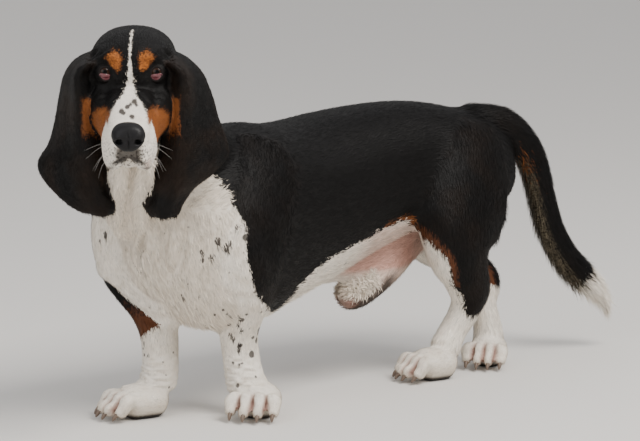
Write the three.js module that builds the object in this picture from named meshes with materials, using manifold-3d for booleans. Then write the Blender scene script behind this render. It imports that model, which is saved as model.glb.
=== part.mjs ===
// A basset hound at life size, standing with its head turned to its left. Millimetres, +Z up.
// The dog faces -Y and its own left side is +X. The paws' soles lie flat on Z = 0.
// Each form is a tube of egg-shaped sections along a smooth path, or a thin sheet, named by anatomy.
import * as THREE from 'three';
import { mergeVertices } from 'three/addons/utils/BufferGeometryUtils.js';
import Module from 'manifold-3d';

const wasm = await Module();
wasm.setup();

// Driving dimensions
const GAP = 0.3;
const ELBOW_CUT = 150;
const STIFLE_CUT = 215;
const WRIST_CUT = 50;
const HOCK_CUT = 50;
const CHEST_WIDTH = 196;
const SPINE_SIDE = -35;
const SPINE_BEND = 27;
const SPINE_BEND_CENTRE = 30;
const SPINE_BEND_LENGTH = 203;
const EYE_RADIUS = 12.5;
const EYE_SPACING = 59;
const EYE_DEPTH = 7;
const EAR_THICKNESS = 5;
const HEAD_TURN = 47;
const HEAD_PITCH = 9;
const EYE_LINE = new THREE.Vector3(88, -402, 431);
const TOE_COUNT = 4;

// Materials, one for each finish
const finish = (color, roughness) => new THREE.MeshStandardMaterial({ color, roughness, metalness: 0 });
const blackCoat = finish(0x15130f, 0.55);
const whiteCoat = finish(0xd8d0c2, 0.8);
const tanCoat = finish(0x9a5a24, 0.7);
const noseLeather = finish(0x1a1817, 0.4);
const eyeGlass = finish(0x20100a, 0.1);

const vector = (list) => new THREE.Vector3(list[0], list[1], list[2]);
const degrees = THREE.MathUtils.degToRad;

// The row of numbers at distance s along a list of rows: a cubic through each row,
// with slopes from the neighbours, over knots that are the distances between the rows' points.
function knotsOf(rows) {
  const knots = [0];
  for (let i = 1; i < rows.length; i += 1) {
    knots.push(knots[i - 1] + vector(rows[i]).distanceTo(vector(rows[i - 1])));
  }
  return knots;
}

function slopeAt(rows, knots, i, k) {
  const last = rows.length - 1;
  const rise = (a, b) => (rows[b][k] - rows[a][k]) / (knots[b] - knots[a]);
  if (i === 0) return rise(0, 1);
  if (i === last) return rise(last - 1, last);
  const before = knots[i] - knots[i - 1];
  const after = knots[i + 1] - knots[i];
  return (rise(i - 1, i) * after + rise(i, i + 1) * before) / (before + after);
}

function rowAt(rows, knots, s) {
  const last = rows.length - 1;
  let i = 0;
  while (i < last - 1 && s > knots[i + 1]) i += 1;
  const length = knots[i + 1] - knots[i];
  const t = (s - knots[i]) / length;
  const a = 2 * t ** 3 - 3 * t ** 2 + 1;
  const b = t ** 3 - 2 * t ** 2 + t;
  const c = 3 * t ** 2 - 2 * t ** 3;
  const d = t ** 3 - t ** 2;
  return rows[i].map((value, k) => a * value + b * length * slopeAt(rows, knots, i, k)
    + c * rows[i + 1][k] + d * length * slopeAt(rows, knots, i + 1, k));
}

// A closed surface from a grid of points: rings of equal count, closed at both ends by a fan.
function closedGrid(rings, first, last) {
  const count = rings[0].length;
  const points = [first, ...rings.flat(), last];
  const index = [];
  const at = (ring, side) => 1 + ring * count + ((side + count) % count);
  for (let side = 0; side < count; side += 1) {
    index.push(0, at(0, side + 1), at(0, side));
    index.push(points.length - 1, at(rings.length - 1, side), at(rings.length - 1, side + 1));
    for (let ring = 0; ring < rings.length - 1; ring += 1) {
      index.push(at(ring, side), at(ring, side + 1), at(ring + 1, side + 1));
      index.push(at(ring, side), at(ring + 1, side + 1), at(ring + 1, side));
    }
  }
  const geometry = new THREE.BufferGeometry();
  geometry.setAttribute('position', new THREE.Float32BufferAttribute(points.flatMap((p) => p.toArray()), 3));
  geometry.setIndex(index);
  return geometry;
}

// A tube through rows of [x, y, z, half width, reach up, reach down].
// Sections stand across the path, and an end with a cap length rounds off as an ellipse.
function tube(rows, options = {}) {
  const { up = [0, 0, 1], sides = 20, rings = 16, capStart = 12, capEnd = 12, capRings = 4 } = options;
  const { from = 0, to = 1, square = 2, matrix = null } = options;
  const knots = knotsOf(rows);
  const total = knots[knots.length - 1];
  const start = from * total;
  const end = to * total;
  const stations = [];
  for (let j = 1; capStart > 0 && j < capRings; j += 1) {
    const angle = (j / capRings) * Math.PI / 2;
    stations.push([start + capStart * (1 - Math.cos(angle)), Math.sin(angle)]);
  }
  for (let j = 0; j <= rings; j += 1) {
    stations.push([start + capStart + (end - capEnd - start - capStart) * j / rings, 1]);
  }
  for (let j = capRings - 1; capEnd > 0 && j > 0; j -= 1) {
    const angle = (j / capRings) * Math.PI / 2;
    stations.push([end - capEnd * (1 - Math.cos(angle)), Math.sin(angle)]);
  }
  const upward = vector(up);
  const grid = stations.map(([s, size]) => {
    const row = rowAt(rows, knots, s);
    const step = Math.min(2, total * 0.02);
    const ahead = vector(rowAt(rows, knots, Math.min(total, s + step)));
    const behind = vector(rowAt(rows, knots, Math.max(0, s - step)));
    const along = ahead.sub(behind).normalize();
    const rise = upward.clone().addScaledVector(along, -upward.dot(along)).normalize();
    const side = rise.clone().cross(along);
    return Array.from({ length: sides }, (_, k) => {
      const angle = (k / sides) * 2 * Math.PI;
      const c = Math.cos(angle);
      const d = Math.sin(angle);
      const across = Math.sign(c) * Math.abs(c) ** (2 / square) * row[3] * size;
      const high = Math.sign(d) * Math.abs(d) ** (2 / square) * (d > 0 ? row[4] : row[5]) * size;
      return vector(row).addScaledVector(side, across).addScaledVector(rise, high);
    });
  });
  const geometry = closedGrid(grid, vector(rowAt(rows, knots, start)), vector(rowAt(rows, knots, end)));
  return matrix ? geometry.applyMatrix4(matrix) : geometry;
}

// Solids: a merged closed geometry becomes a solid with its faces outward.
function solid(geometry) {
  const merged = mergeVertices(geometry.clone(), 1e-4);
  let triVerts = new Uint32Array(merged.index.array);
  const vertProperties = new Float32Array(merged.attributes.position.array);
  const corner = (i) => new THREE.Vector3().fromArray(vertProperties, triVerts[i] * 3);
  let volume = 0;
  for (let i = 0; i < triVerts.length; i += 3) {
    volume += corner(i).dot(corner(i + 1).cross(corner(i + 2)));
  }
  if (volume < 0) triVerts = triVerts.reverse();
  return new wasm.Manifold(new wasm.Mesh({ numProp: 3, vertProperties, triVerts }));
}

// The same surface moved outward along its normals.
function swollen(geometry, distance) {
  const merged = mergeVertices(geometry.clone(), 1e-4);
  merged.computeVertexNormals();
  const { position, normal } = merged.attributes;
  const probe = solid(merged).volume();
  let raw = 0;
  const corner = (i) => new THREE.Vector3().fromBufferAttribute(position, merged.index.array[i]);
  for (let i = 0; i < merged.index.count; i += 3) {
    raw += corner(i).dot(corner(i + 1).cross(corner(i + 2)));
  }
  const outward = raw * probe < 0 ? -distance : distance;
  for (let i = 0; i < position.count; i += 1) {
    const point = new THREE.Vector3().fromBufferAttribute(position, i);
    point.addScaledVector(new THREE.Vector3().fromBufferAttribute(normal, i), outward);
    position.setXYZ(i, point.x, point.y, point.z);
  }
  merged.deleteAttribute('normal');
  return merged;
}

const joined = (solids) => solids.reduce((sum, one) => sum.add(one));
const body = (forms) => joined(forms.map(solid));
const clearance = (forms) => joined(forms.map((form) => solid(swollen(form, GAP))));

function largest(shape) {
  return shape.decompose().reduce((best, one) => (one.volume() > best.volume() ? one : best));
}

// All that lies beyond a plane through a point, on the side that its normal points to.
function beyond(point, normal) {
  const reach = 3000;
  const geometry = new THREE.BoxGeometry(reach, reach, reach);
  geometry.deleteAttribute('normal');
  geometry.deleteAttribute('uv');
  geometry.translate(0, 0, reach / 2);
  const turn = new THREE.Quaternion().setFromUnitVectors(new THREE.Vector3(0, 0, 1), vector(normal).normalize());
  geometry.applyQuaternion(turn);
  geometry.translate(...point);
  return solid(geometry);
}
const above = (height) => beyond([0, 0, height], [0, 0, 1]);
const below = (height) => beyond([0, 0, height], [0, 0, -1]);

// Trunk
const spineX = (y) => SPINE_SIDE + SPINE_BEND * ((y - SPINE_BEND_CENTRE) / SPINE_BEND_LENGTH) ** 2;
// Each row: y, x away from the spine's bend, top, bottom, half width
const TRUNK = [
  [-304, -28, 262, 124, 0.66],
  [-268, -20, 305, 106, 0.84],
  [-230, -10, 330, 100, 0.95],
  [-190, -2, 342, 100, 0.99],
  [-150, 0, 346, 107, 1.0],
  [-100, 0, 340, 118, 1.0],
  [-40, 0, 339, 135, 0.98],
  [20, 0, 344, 153, 0.93],
  [80, 0, 348, 170, 0.86],
  [130, 0, 349, 182, 0.79],
  [185, 0, 341, 190, 0.74],
  [240, 0, 318, 193, 0.66],
  [270, 0, 283, 193, 0.56],
  [294, 0, 254, 190, 0.45],
];
const trunkRows = TRUNK.map(([y, aside, top, bottom, width]) => {
  const middle = bottom + (top - bottom) * 0.5;
  return [spineX(y) + aside, y, middle, width * CHEST_WIDTH / 2, top - middle, middle - bottom];
});
const trunk = tube(trunkRows, { sides: 26, rings: 16, capStart: 46, capEnd: 44, capRings: 4, square: 2.25 });

// Neck, from the withers and the forechest up to the skull
const NECK = [
  [-20, -205, 262, 78, 74, 88],
  [-12, -248, 300, 75, 72, 89],
  [4, -292, 342, 68, 66, 88],
  [26, -330, 380, 60, 58, 86],
  [46, -352, 408, 50, 48, 76],
];
const neckTube = tube(NECK, { sides: 22, rings: 8, capStart: 30, capEnd: 24, up: [0, 0.8, 0.6] });
// Two folds of loose skin run down the throat on either side of its middle line.
const DEWLAP = [
  [96, -404, 338, 11, 14, 13],
  [66, -385, 306, 13, 18, 17],
  [34, -362, 280, 14, 20, 18],
  [4, -334, 252, 15, 20, 17],
  [-14, -306, 226, 14, 18, 14],
];
const dewlap = (aside) => tube(
  DEWLAP.map((row) => [row[0] + aside * 0.68, row[1] + aside * 0.73, ...row.slice(2)]),
  { sides: 10, rings: 7, capStart: 10, capEnd: 14, capRings: 3 },
);
const DEWLAP_SPREAD = 13;
const neckForms = [neckTube, dewlap(DEWLAP_SPREAD), dewlap(-DEWLAP_SPREAD)];

// Legs: the shoulder or haunch lies against the trunk and the shank stands on the paw
const FORWARD = [0, -1, 0];
const FORELEG = {
  left: [
    [18, -140, 322, 30, 44, 44],
    [44, -176, 280, 40, 58, 54],
    [57, -205, 228, 44, 62, 58],
    [58, -204, 184, 40, 50, 52],
    [48, -193, 152, 33, 38, 38],
    [35, -188, 122, 26, 29, 29],
    [25, -184, 94, 22, 25, 25],
    [25, -180, 70, 21, 25, 25],
    [29, -179, 48, 23, 26, 25],
    [40, -180, 28, 26, 29, 26],
  ],
  right: [
    [-52, -150, 322, 30, 44, 44],
    [-80, -200, 280, 42, 60, 54],
    [-90, -242, 228, 46, 64, 62],
    [-84, -250, 184, 42, 56, 58],
    [-70, -248, 152, 34, 44, 42],
    [-54, -248, 122, 28, 32, 31],
    [-44, -250, 94, 23, 25, 25],
    [-40, -252, 70, 21, 24, 25],
    [-39, -254, 48, 22, 25, 25],
    [-41, -258, 28, 24, 28, 25],
  ],
};
const HINDLEG = {
  left: [
    [2, 215, 318, 34, 40, 40],
    [18, 200, 280, 44, 60, 60],
    [34, 178, 235, 46, 70, 77],
    [46, 164, 190, 38, 60, 71],
    [50, 162, 158, 31, 44, 62],
    [50, 174, 130, 25, 31, 38],
    [46, 188, 103, 21, 27, 31],
    [38, 184, 78, 18, 22, 24],
    [33, 170, 54, 18, 20, 20],
    [34, 154, 30, 22, 24, 22],
  ],
  right: [
    [-34, 220, 318, 34, 40, 40],
    [-48, 210, 280, 42, 60, 60],
    [-58, 198, 235, 44, 68, 68],
    [-58, 194, 192, 36, 56, 60],
    [-42, 208, 162, 29, 42, 42],
    [-14, 238, 132, 23, 30, 28],
    [3, 258, 107, 20, 24, 24],
    [9, 250, 80, 18, 21, 20],
    [13, 254, 54, 18, 20, 20],
    [16, 256, 30, 22, 24, 22],
  ],
};
const legOptions = { up: FORWARD, sides: 16, rings: 14, capStart: 26, capEnd: 10, capRings: 3 };
const foreleg = (side) => tube(FORELEG[side], legOptions);
const hindleg = (side) => tube(HINDLEG[side], legOptions);

// A paw: a low rounded foot, four arched toes, and a blunt claw at each toe's end
function paw({ x, y, turn, length, width }) {
  const place = new THREE.Matrix4().makeTranslation(x, y, 0);
  place.multiply(new THREE.Matrix4().makeRotationZ(degrees(turn)));
  const half = length / 2;
  const foot = tube([
    [0, half * 0.95, 16, width * 0.28, 18, 20],
    [0, half * 0.5, 20, width * 0.4, 20, 24],
    [0, 0, 22, width * 0.44, 20, 26],
    [0, -half * 0.5, 19, width * 0.43, 17, 23],
  ], { sides: 10, rings: 3, capStart: 14, capEnd: 16, capRings: 3, matrix: place });
  const forms = [foot];
  for (let toe = 0; toe < TOE_COUNT; toe += 1) {
    const spread = (toe - (TOE_COUNT - 1) / 2) / ((TOE_COUNT - 1) / 2);
    const reach = 1 - 0.16 * spread ** 2;
    const root = spread * width * 0.28;
    const tip = spread * width * 0.39;
    const rows = [
      [root, -half * 0.1, 22, 8, 8, 8],
      [(root + tip) / 2, -half * 0.45 * reach, 25, 8.4, 8, 9],
      [tip, -half * 0.78 * reach, 17, 8.2, 8.4, 10],
      [tip, -half * reach, 9, 7, 7, 9],
    ];
    forms.push(tube(rows, { sides: 6, rings: 3, capStart: 5, capEnd: 6, capRings: 2, matrix: place }));
    const clawRows = [
      [tip, -half * reach + 6, 12, 3.4, 3.4, 3.6],
      [tip, -half * reach - 3, 8.5, 2.6, 2.8, 3],
      [tip, -half * reach - 7, 4.6, 1.2, 1.3, 1.5],
    ];
    forms.push(tube(clawRows, { sides: 5, rings: 2, capStart: 0, capEnd: 0, matrix: place }));
  }
  return forms;
}
const PAWS = {
  forepaw_left: { x: 58, y: -184, turn: 37, length: 90, width: 66 },
  forepaw_right: { x: -40, y: -291, turn: -14, length: 88, width: 63 },
  hindpaw_left: { x: 35, y: 128, turn: -12, length: 82, width: 57 },
  hindpaw_right: { x: 23, y: 246, turn: 34, length: 82, width: 56 },
};

// Tail, carried back and curving down, with a pointed brush of hair
const TAIL = [
  [-4, 215, 316, 24, 22, 26],
  [4, 250, 319, 20, 18, 22],
  [10, 281, 312, 19, 19, 21],
  [15, 307, 292, 19, 20, 21],
  [18, 325, 268, 19, 20, 21],
  [20, 337, 240, 18, 19, 19],
  [22, 346, 208, 17, 18, 18],
  [25, 358, 170, 17, 18, 18],
  [29, 379, 133, 16, 18, 17],
  [34, 408, 103, 14, 16, 15],
  [38, 429, 84, 10, 12, 11],
  [40, 443, 68, 6, 7, 6],
  [41, 450, 53, 2, 2, 2],
];
const TAIL_SPLITS = [0.36, 0.72];
const tailLength = knotsOf(TAIL)[TAIL.length - 1];
function tailPart(from, to, ends) {
  return tube(TAIL, { sides: 12, rings: 6, from, to, capStart: ends[0], capEnd: ends[1], up: [0, 0.9, 0.45] });
}

// Sheath of the male, hanging forward under the belly
const SHEATH = [
  [-8, 158, 182, 15, 16, 20],
  [-10, 128, 160, 17, 18, 20],
  [-10, 96, 140, 19, 20, 22],
  [-8, 64, 125, 20, 21, 22],
  [-6, 38, 116, 20, 20, 21],
  [-5, 12, 114, 16, 17, 17],
];
// A fold of skin joins its upper side to the belly.
const BELLY_FOLD = [
  [-10, -70, 152, 16, 10, 15],
  [-9, -20, 149, 14, 12, 16],
  [-8, 20, 152, 11, 16, 19],
  [-8, 60, 162, 10, 24, 28],
  [-9, 100, 172, 11, 24, 26],
  [-9, 140, 186, 12, 20, 20],
];
const sheathForms = [
  tube(SHEATH, { sides: 12, rings: 6, capStart: 12, capEnd: 12, capRings: 3 }),
  tube(BELLY_FOLD, { sides: 10, rings: 7, capStart: 20, capEnd: 12, capRings: 3 }),
];

// Head, built facing -Y around the point midway between the eyes, then turned into place
const headPlace = new THREE.Matrix4().makeTranslation(EYE_LINE.x, EYE_LINE.y, EYE_LINE.z);
headPlace.multiply(new THREE.Matrix4().makeRotationZ(degrees(HEAD_TURN)));
headPlace.multiply(new THREE.Matrix4().makeRotationX(degrees(HEAD_PITCH)));
const onHead = (rows, options) => tube(rows, { matrix: headPlace, ...options });

const cranium = onHead([
  [0, 132, -4, 34, 22, 28],
  [0, 105, -4, 46, 35, 38],
  [0, 70, -6, 51, 42, 44],
  [0, 35, -8, 51, 45, 44],
  [0, 8, -12, 46, 42, 36],
  [0, -9, -15, 38, 34, 30],
], { sides: 22, rings: 8, capStart: 26, capEnd: 22, square: 2.2 });
const muzzle = onHead([
  [0, 10, -34, 34, 24, 30],
  [0, -22, -36, 29, 22, 30],
  [0, -50, -40, 27, 20, 30],
  [0, -80, -44, 25, 20, 28],
  [0, -100, -45, 23, 19, 25],
  [0, -112, -45, 18, 17, 21],
], { sides: 18, rings: 8, capStart: 12, capEnd: 12, capRings: 3, square: 2.4 });
const jaw = onHead([
  [0, 66, -52, 40, 24, 26],
  [0, 25, -62, 36, 20, 22],
  [0, -20, -70, 25, 14, 17],
  [0, -60, -75, 18, 10, 12],
  [0, -92, -75, 14, 9, 11],
], { sides: 14, rings: 7, capStart: 20, capEnd: 12, capRings: 3 });
const cheek = (side) => onHead([
  [side * 30, 90, -22, 20, 36, 34],
  [side * 34, 50, -30, 22, 36, 38],
  [side * 33, 12, -40, 18, 26, 34],
  [side * 27, -22, -48, 12, 20, 26],
  [side * 22, -45, -54, 9, 16, 22],
], { sides: 12, rings: 6, capStart: 18, capEnd: 14, capRings: 3 });
// Each upper lip hangs as a deep fold past the lower jaw, so the mouth's line is the crease between them.
const flew = (side) => onHead([
  [side * 27, 8, -60, 9, 18, 22],
  [side * 25, -24, -64, 9, 26, 26],
  [side * 22, -58, -66, 9.5, 28, 25],
  [side * 18, -86, -66, 11, 26, 22],
  [side * 9, -108, -62, 10, 14, 14],
], { sides: 12, rings: 7, capStart: 14, capEnd: 8, capRings: 3 });
const brow = (side) => onHead([
  [side * 12, 3, 14, 8, 8, 8],
  [side * 20, 4, 19, 9, 9, 8],
  [side * 31, 7, 16, 8, 7, 8],
  [side * 41, 15, 7, 7, 6, 7],
], { sides: 8, rings: 4, capStart: 6, capEnd: 6, capRings: 2 });
const headForms = [cranium, muzzle, jaw];
for (const side of [1, -1]) headForms.push(cheek(side), flew(side), brow(side));

// Eyes, and lids that ring each one, the lower lid sagging
const SOCKET_MOUTH = 12;
function eyeball(side, radius, ahead = 0) {
  const geometry = new THREE.SphereGeometry(radius, 14, 9);
  geometry.deleteAttribute('normal');
  geometry.deleteAttribute('uv');
  geometry.translate(side * EYE_SPACING / 2, EYE_DEPTH - ahead, 0);
  return geometry.applyMatrix4(headPlace);
}
const LID_REACH = EYE_RADIUS + 1.2;
function lid(side, rise) {
  const rows = [];
  const steps = 4;
  for (let i = 0; i <= steps; i += 1) {
    const across = -1 + 2 * i / steps;
    const x = across * 11.5;
    const z = rise * (1 - across * across) - 1;
    const y = -Math.sqrt(Math.max(4, LID_REACH ** 2 - x * x - z * z));
    rows.push([side * EYE_SPACING / 2 + x, EYE_DEPTH + y, z, 2.2, 2.6, 2.6]);
  }
  return onHead(rows, { sides: 6, rings: 5, capStart: 2, capEnd: 2, capRings: 2 });
}
const UPPER_LID = 8.5;
const LOWER_LID = -8.5;
const lids = [1, -1].flatMap((side) => [lid(side, UPPER_LID), lid(side, LOWER_LID)]);

// Nose leather with two nostrils
const noseBlock = onHead([
  [0, -92, -37, 16, 13, 14],
  [0, -104, -37, 18.5, 15, 16],
  [0, -113, -38, 18, 14.5, 15.5],
  [0, -119, -39, 14, 11, 12],
], { sides: 16, rings: 4, capStart: 3, capEnd: 5, capRings: 3, square: 2.4 });
const nostril = (side) => onHead([
  [side * 9.5, -121, -40, 3.4, 4, 4.6],
  [side * 8.5, -114, -39, 3, 3.4, 4],
  [side * 7.5, -107, -38, 2, 2.4, 2.6],
], { sides: 8, rings: 3, capStart: 1, capEnd: 2, capRings: 2 });

// An ear: a long leaf of thin leather. Each row gives the heights of its front and its rear edge,
// how far out from the head's middle its front edge, fold and rear edge hang, and how far back the rear is.
const EAR = {
  left: [
    [14, 10, 38, 46, 50, 62],
    [3, -2, 47, 56, 64, 68],
    [-14, -18, 46, 58, 78, 74],
    [-34, -45, 41, 55, 89, 78],
    [-58, -75, 36, 53, 97, 78],
    [-80, -98, 32, 53, 106, 74],
    [-100, -115, 29, 53, 108, 64],
    [-120, -130, 23, 52, 92, 48],
    [-140, -143, 15, 48, 69, 28],
    [-156, -157, 11, 40, 58, 14],
    [-171, -171, 20, 36, 50, 8],
  ],
  right: [
    [14, 10, 38, 46, 50, 62],
    [3, -2, 47, 56, 66, 68],
    [-14, -20, 46, 57, 79, 74],
    [-34, -46, 41, 54, 86, 74],
    [-58, -76, 36, 52, 92, 72],
    [-80, -102, 33, 49, 100, 68],
    [-100, -121, 31, 48, 112, 60],
    [-120, -136, 29, 46, 108, 50],
    [-140, -152, 26, 42, 89, 30],
    [-156, -163, 23, 36, 71, 18],
    [-169, -168, 24, 34, 54, 12],
  ],
};
const EAR_FRONT_DEPTH = 12;
const EAR_FOLD_DEPTH = -2;
function ear(name) {
  const side = name === 'left' ? 1 : -1;
  const rows = EAR[name].map(([z, rearZ, ...across]) => [0, 0, z, rearZ, ...across]);
  const knots = knotsOf(rows);
  const steps = 15;
  const around = 7;
  const middle = [];
  for (let i = 0; i <= steps; i += 1) {
    const [, , z, rearZ, front, fold, rear, back] = rowAt(rows, knots, knots[knots.length - 1] * i / steps);
    const rowsAcross = [
      [side * front, EAR_FRONT_DEPTH, z],
      [side * fold, EAR_FOLD_DEPTH, z],
      [side * (fold * 0.45 + rear * 0.55), back * 0.42, z * 0.5 + rearZ * 0.5],
      [side * rear, back, rearZ],
    ];
    const knotsAcross = knotsOf(rowsAcross);
    const line = [];
    for (let k = 0; k <= around; k += 1) {
      line.push(vector(rowAt(rowsAcross, knotsAcross, knotsAcross[3] * k / around)));
    }
    middle.push(line);
  }
  return sheet(middle, EAR_THICKNESS).applyMatrix4(headPlace);
}

// A thin closed sheet: both faces of a grid of points, set apart along its normals,
// thinning to the rim, where the two faces are joined by a narrow edge.
function sheet(middle, thickness) {
  const last = middle.length - 1;
  const wide = middle[0].length - 1;
  const faces = [[], []];
  middle.forEach((line, i) => line.forEach((point, k) => {
    const along = middle[Math.min(last, i + 1)][k].clone().sub(middle[Math.max(0, i - 1)][k]);
    const across = line[Math.min(wide, k + 1)].clone().sub(line[Math.max(0, k - 1)]);
    const normal = along.cross(across).normalize();
    const rim = Math.min(1, 0.45 + 0.55 * Math.min(i, last - i, k, wide - k) / 2);
    faces[0].push(point.clone().addScaledVector(normal, rim * thickness / 2));
    faces[1].push(point.clone().addScaledVector(normal, -rim * thickness / 2));
  }));
  const count = faces[0].length;
  const at = (face, i, k) => face * count + i * (wide + 1) + k;
  const index = [];
  const quad = (a, b, c, d) => index.push(a, b, c, a, c, d);
  for (let i = 0; i < last; i += 1) {
    for (let k = 0; k < wide; k += 1) {
      quad(at(0, i, k), at(0, i + 1, k), at(0, i + 1, k + 1), at(0, i, k + 1));
      quad(at(1, i + 1, k), at(1, i, k), at(1, i, k + 1), at(1, i + 1, k + 1));
    }
    quad(at(0, i + 1, 0), at(0, i, 0), at(1, i, 0), at(1, i + 1, 0));
    quad(at(0, i, wide), at(0, i + 1, wide), at(1, i + 1, wide), at(1, i, wide));
  }
  for (let k = 0; k < wide; k += 1) {
    quad(at(0, 0, k), at(0, 0, k + 1), at(1, 0, k + 1), at(1, 0, k));
    quad(at(0, last, k + 1), at(0, last, k), at(1, last, k), at(1, last, k + 1));
  }
  const geometry = new THREE.BufferGeometry();
  const points = [...faces[0], ...faces[1]].flatMap((p) => p.toArray());
  geometry.setAttribute('position', new THREE.Float32BufferAttribute(points, 3));
  geometry.setIndex(index);
  return geometry;
}

// Assembly: each node is its own forms, less the clearance round what it grows from
const NECK_BASE = [-17, -239, 290];
const NECK_AXIS = [0.16, -0.62, 0.77];
const floor = above(0);
const nodes = [];
const add = (name, shape, material) => nodes.push([name, largest(shape), material]);

const trunkSolid = solid(trunk);
const forelegs = { left: foreleg('left'), right: foreleg('right') };
const hindlegs = { left: hindleg('left'), right: hindleg('right') };
const shoulders = Object.values(forelegs).map((leg) => solid(leg).intersect(above(ELBOW_CUT)));
const haunches = Object.values(hindlegs).map((leg) => solid(leg).intersect(above(STIFLE_CUT)));
const neckSolid = body(neckForms);
const neckPast = beyond(NECK_BASE.map((v, i) => v - GAP * NECK_AXIS[i]), NECK_AXIS);
const torso = joined([trunkSolid, ...shoulders, ...haunches, neckSolid]).subtract(neckPast);
const torsoRoom = joined([
  solid(swollen(trunk, GAP)),
  ...Object.values(forelegs).map((leg) => solid(swollen(leg, GAP)).intersect(above(ELBOW_CUT))),
  ...Object.values(hindlegs).map((leg) => solid(swollen(leg, GAP)).intersect(above(STIFLE_CUT))),
]);
add('torso', torso, blackCoat);

const eyeClearance = joined([1, -1].map((side) => solid(eyeball(side, EYE_RADIUS + GAP))));
const eyeRoom = joined([1, -1].flatMap((side) => [
  solid(eyeball(side, EYE_RADIUS + GAP)),
  solid(eyeball(side, EYE_RADIUS - 3, SOCKET_MOUTH)),
]));
const skull = body(headForms).subtract(eyeRoom).add(body(lids));
const head = skull.subtract(eyeClearance).subtract(solid(swollen(noseBlock, GAP)));
const headRoom = clearance(headForms);
const neckStart = beyond(NECK_BASE, NECK_AXIS);
const neck = joined([neckSolid, trunkSolid]).intersect(neckStart).subtract(headRoom).subtract(clearance(lids));
add('neck', neck, whiteCoat);
add('head', head, tanCoat);
add('nose', solid(noseBlock).subtract(body([nostril(1), nostril(-1)])), noseLeather);
const neckRoom = clearance(neckForms);
for (const name of ['left', 'right']) {
  const side = name === 'left' ? 1 : -1;
  const leaf = solid(ear(name)).subtract(headRoom).subtract(neckRoom).subtract(torsoRoom);
  add(`ear_${name}`, leaf, blackCoat);
  add(`eye_${name}`, solid(eyeball(side, EYE_RADIUS)), eyeGlass);
}

for (const name of ['left', 'right']) {
  const trunkRoom = solid(swollen(trunk, GAP));
  for (const [kind, legs, top, ankle] of [
    ['fore', forelegs, ELBOW_CUT, WRIST_CUT],
    ['hind', hindlegs, STIFLE_CUT, HOCK_CUT],
  ]) {
    const leg = solid(legs[name]);
    const foot = paw(PAWS[`${kind}paw_${name}`]);
    const footSolid = joined([body(foot), leg]).intersect(floor).intersect(below(ankle - GAP));
    const shank = leg.intersect(above(ankle)).intersect(below(top - GAP)).subtract(trunkRoom);
    add(`${kind}leg_${name}`, shank, kind === 'fore' ? whiteCoat : blackCoat);
    add(`${kind}paw_${name}`, footSolid, whiteCoat);
  }
}

const split = GAP / tailLength;
const tailRoot = solid(tailPart(0, TAIL_SPLITS[0], [14, 0])).subtract(torsoRoom);
add('tail_root', tailRoot, blackCoat);
add('tail_middle', solid(tailPart(TAIL_SPLITS[0] + split, TAIL_SPLITS[1], [0, 0])), blackCoat);
add('tail_tip', solid(tailPart(TAIL_SPLITS[1] + split, 1, [0, 4])), whiteCoat);
add('sheath', body(sheathForms).subtract(torsoRoom), whiteCoat);

// The whole dog, with its box centred over the origin and its soles on Z = 0
const dog = new THREE.Group();
for (const [name, shape, material] of nodes) {
  const { vertProperties, triVerts } = shape.getMesh();
  const geometry = new THREE.BufferGeometry();
  geometry.setAttribute('position', new THREE.BufferAttribute(new Float32Array(vertProperties), 3));
  geometry.setIndex(new THREE.BufferAttribute(new Uint32Array(triVerts), 1));
  geometry.computeVertexNormals();
  const mesh = new THREE.Mesh(geometry, material);
  mesh.name = name;
  dog.add(mesh);
}
const box = new THREE.Box3().setFromObject(dog);
const centre = box.getCenter(new THREE.Vector3());
dog.position.set(-centre.x, -centre.y, -box.min.z);

export default dog;
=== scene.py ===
"""The looks of a still, life-size basset hound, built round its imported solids.

Rows and sizes are in millimetres in the dog's own frame: +Z up, facing -Y, its left side +X.
They repeat the sizes of the solids, and metres() carries them into the frame of the model.
"""

import math

import bpy
import numpy as np
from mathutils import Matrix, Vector


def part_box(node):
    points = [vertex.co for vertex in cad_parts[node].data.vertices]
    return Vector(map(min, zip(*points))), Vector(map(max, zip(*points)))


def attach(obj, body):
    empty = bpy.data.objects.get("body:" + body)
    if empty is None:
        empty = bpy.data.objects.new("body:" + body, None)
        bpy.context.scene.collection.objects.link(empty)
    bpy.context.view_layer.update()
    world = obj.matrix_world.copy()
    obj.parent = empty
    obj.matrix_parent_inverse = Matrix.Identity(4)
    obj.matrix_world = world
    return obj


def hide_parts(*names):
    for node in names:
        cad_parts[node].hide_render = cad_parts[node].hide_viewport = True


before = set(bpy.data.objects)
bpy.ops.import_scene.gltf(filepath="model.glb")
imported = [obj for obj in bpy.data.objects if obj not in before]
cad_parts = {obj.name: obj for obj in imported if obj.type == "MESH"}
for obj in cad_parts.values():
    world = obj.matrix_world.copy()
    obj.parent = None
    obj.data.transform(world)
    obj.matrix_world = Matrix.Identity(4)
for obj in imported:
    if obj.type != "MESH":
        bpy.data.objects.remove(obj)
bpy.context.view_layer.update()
SEED = 11

# Sizes of the head and its place on the body
EYE_LINE = np.array([88.0, -402.0, 431.0])
HEAD_TURN = math.radians(47)
HEAD_PITCH = math.radians(9)
EYE_RADIUS = 10.8
EYE_SPACING = 59.0
EYE_DEPTH = 7.0
EYE_SET_BACK = 2.0
COAT_DEPTH = 1.2
FLOOR_GAP = 0.2
MUZZLE_LEAN = 3.0

# Sizes of the trunk
CHEST_WIDTH = 196.0
SPINE_SIDE = -35.0
SPINE_BEND = 27.0
SPINE_BEND_CENTRE = 30.0
SPINE_BEND_LENGTH = 203.0

FLESH_NODES = [
    "torso", "neck", "head", "ear_left", "ear_right", "sheath",
    "foreleg_left", "foreleg_right", "hindleg_left", "hindleg_right",
    "forepaw_left", "forepaw_right", "hindpaw_left", "hindpaw_right",
    "tail_root", "tail_middle", "tail_tip",
]


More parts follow.
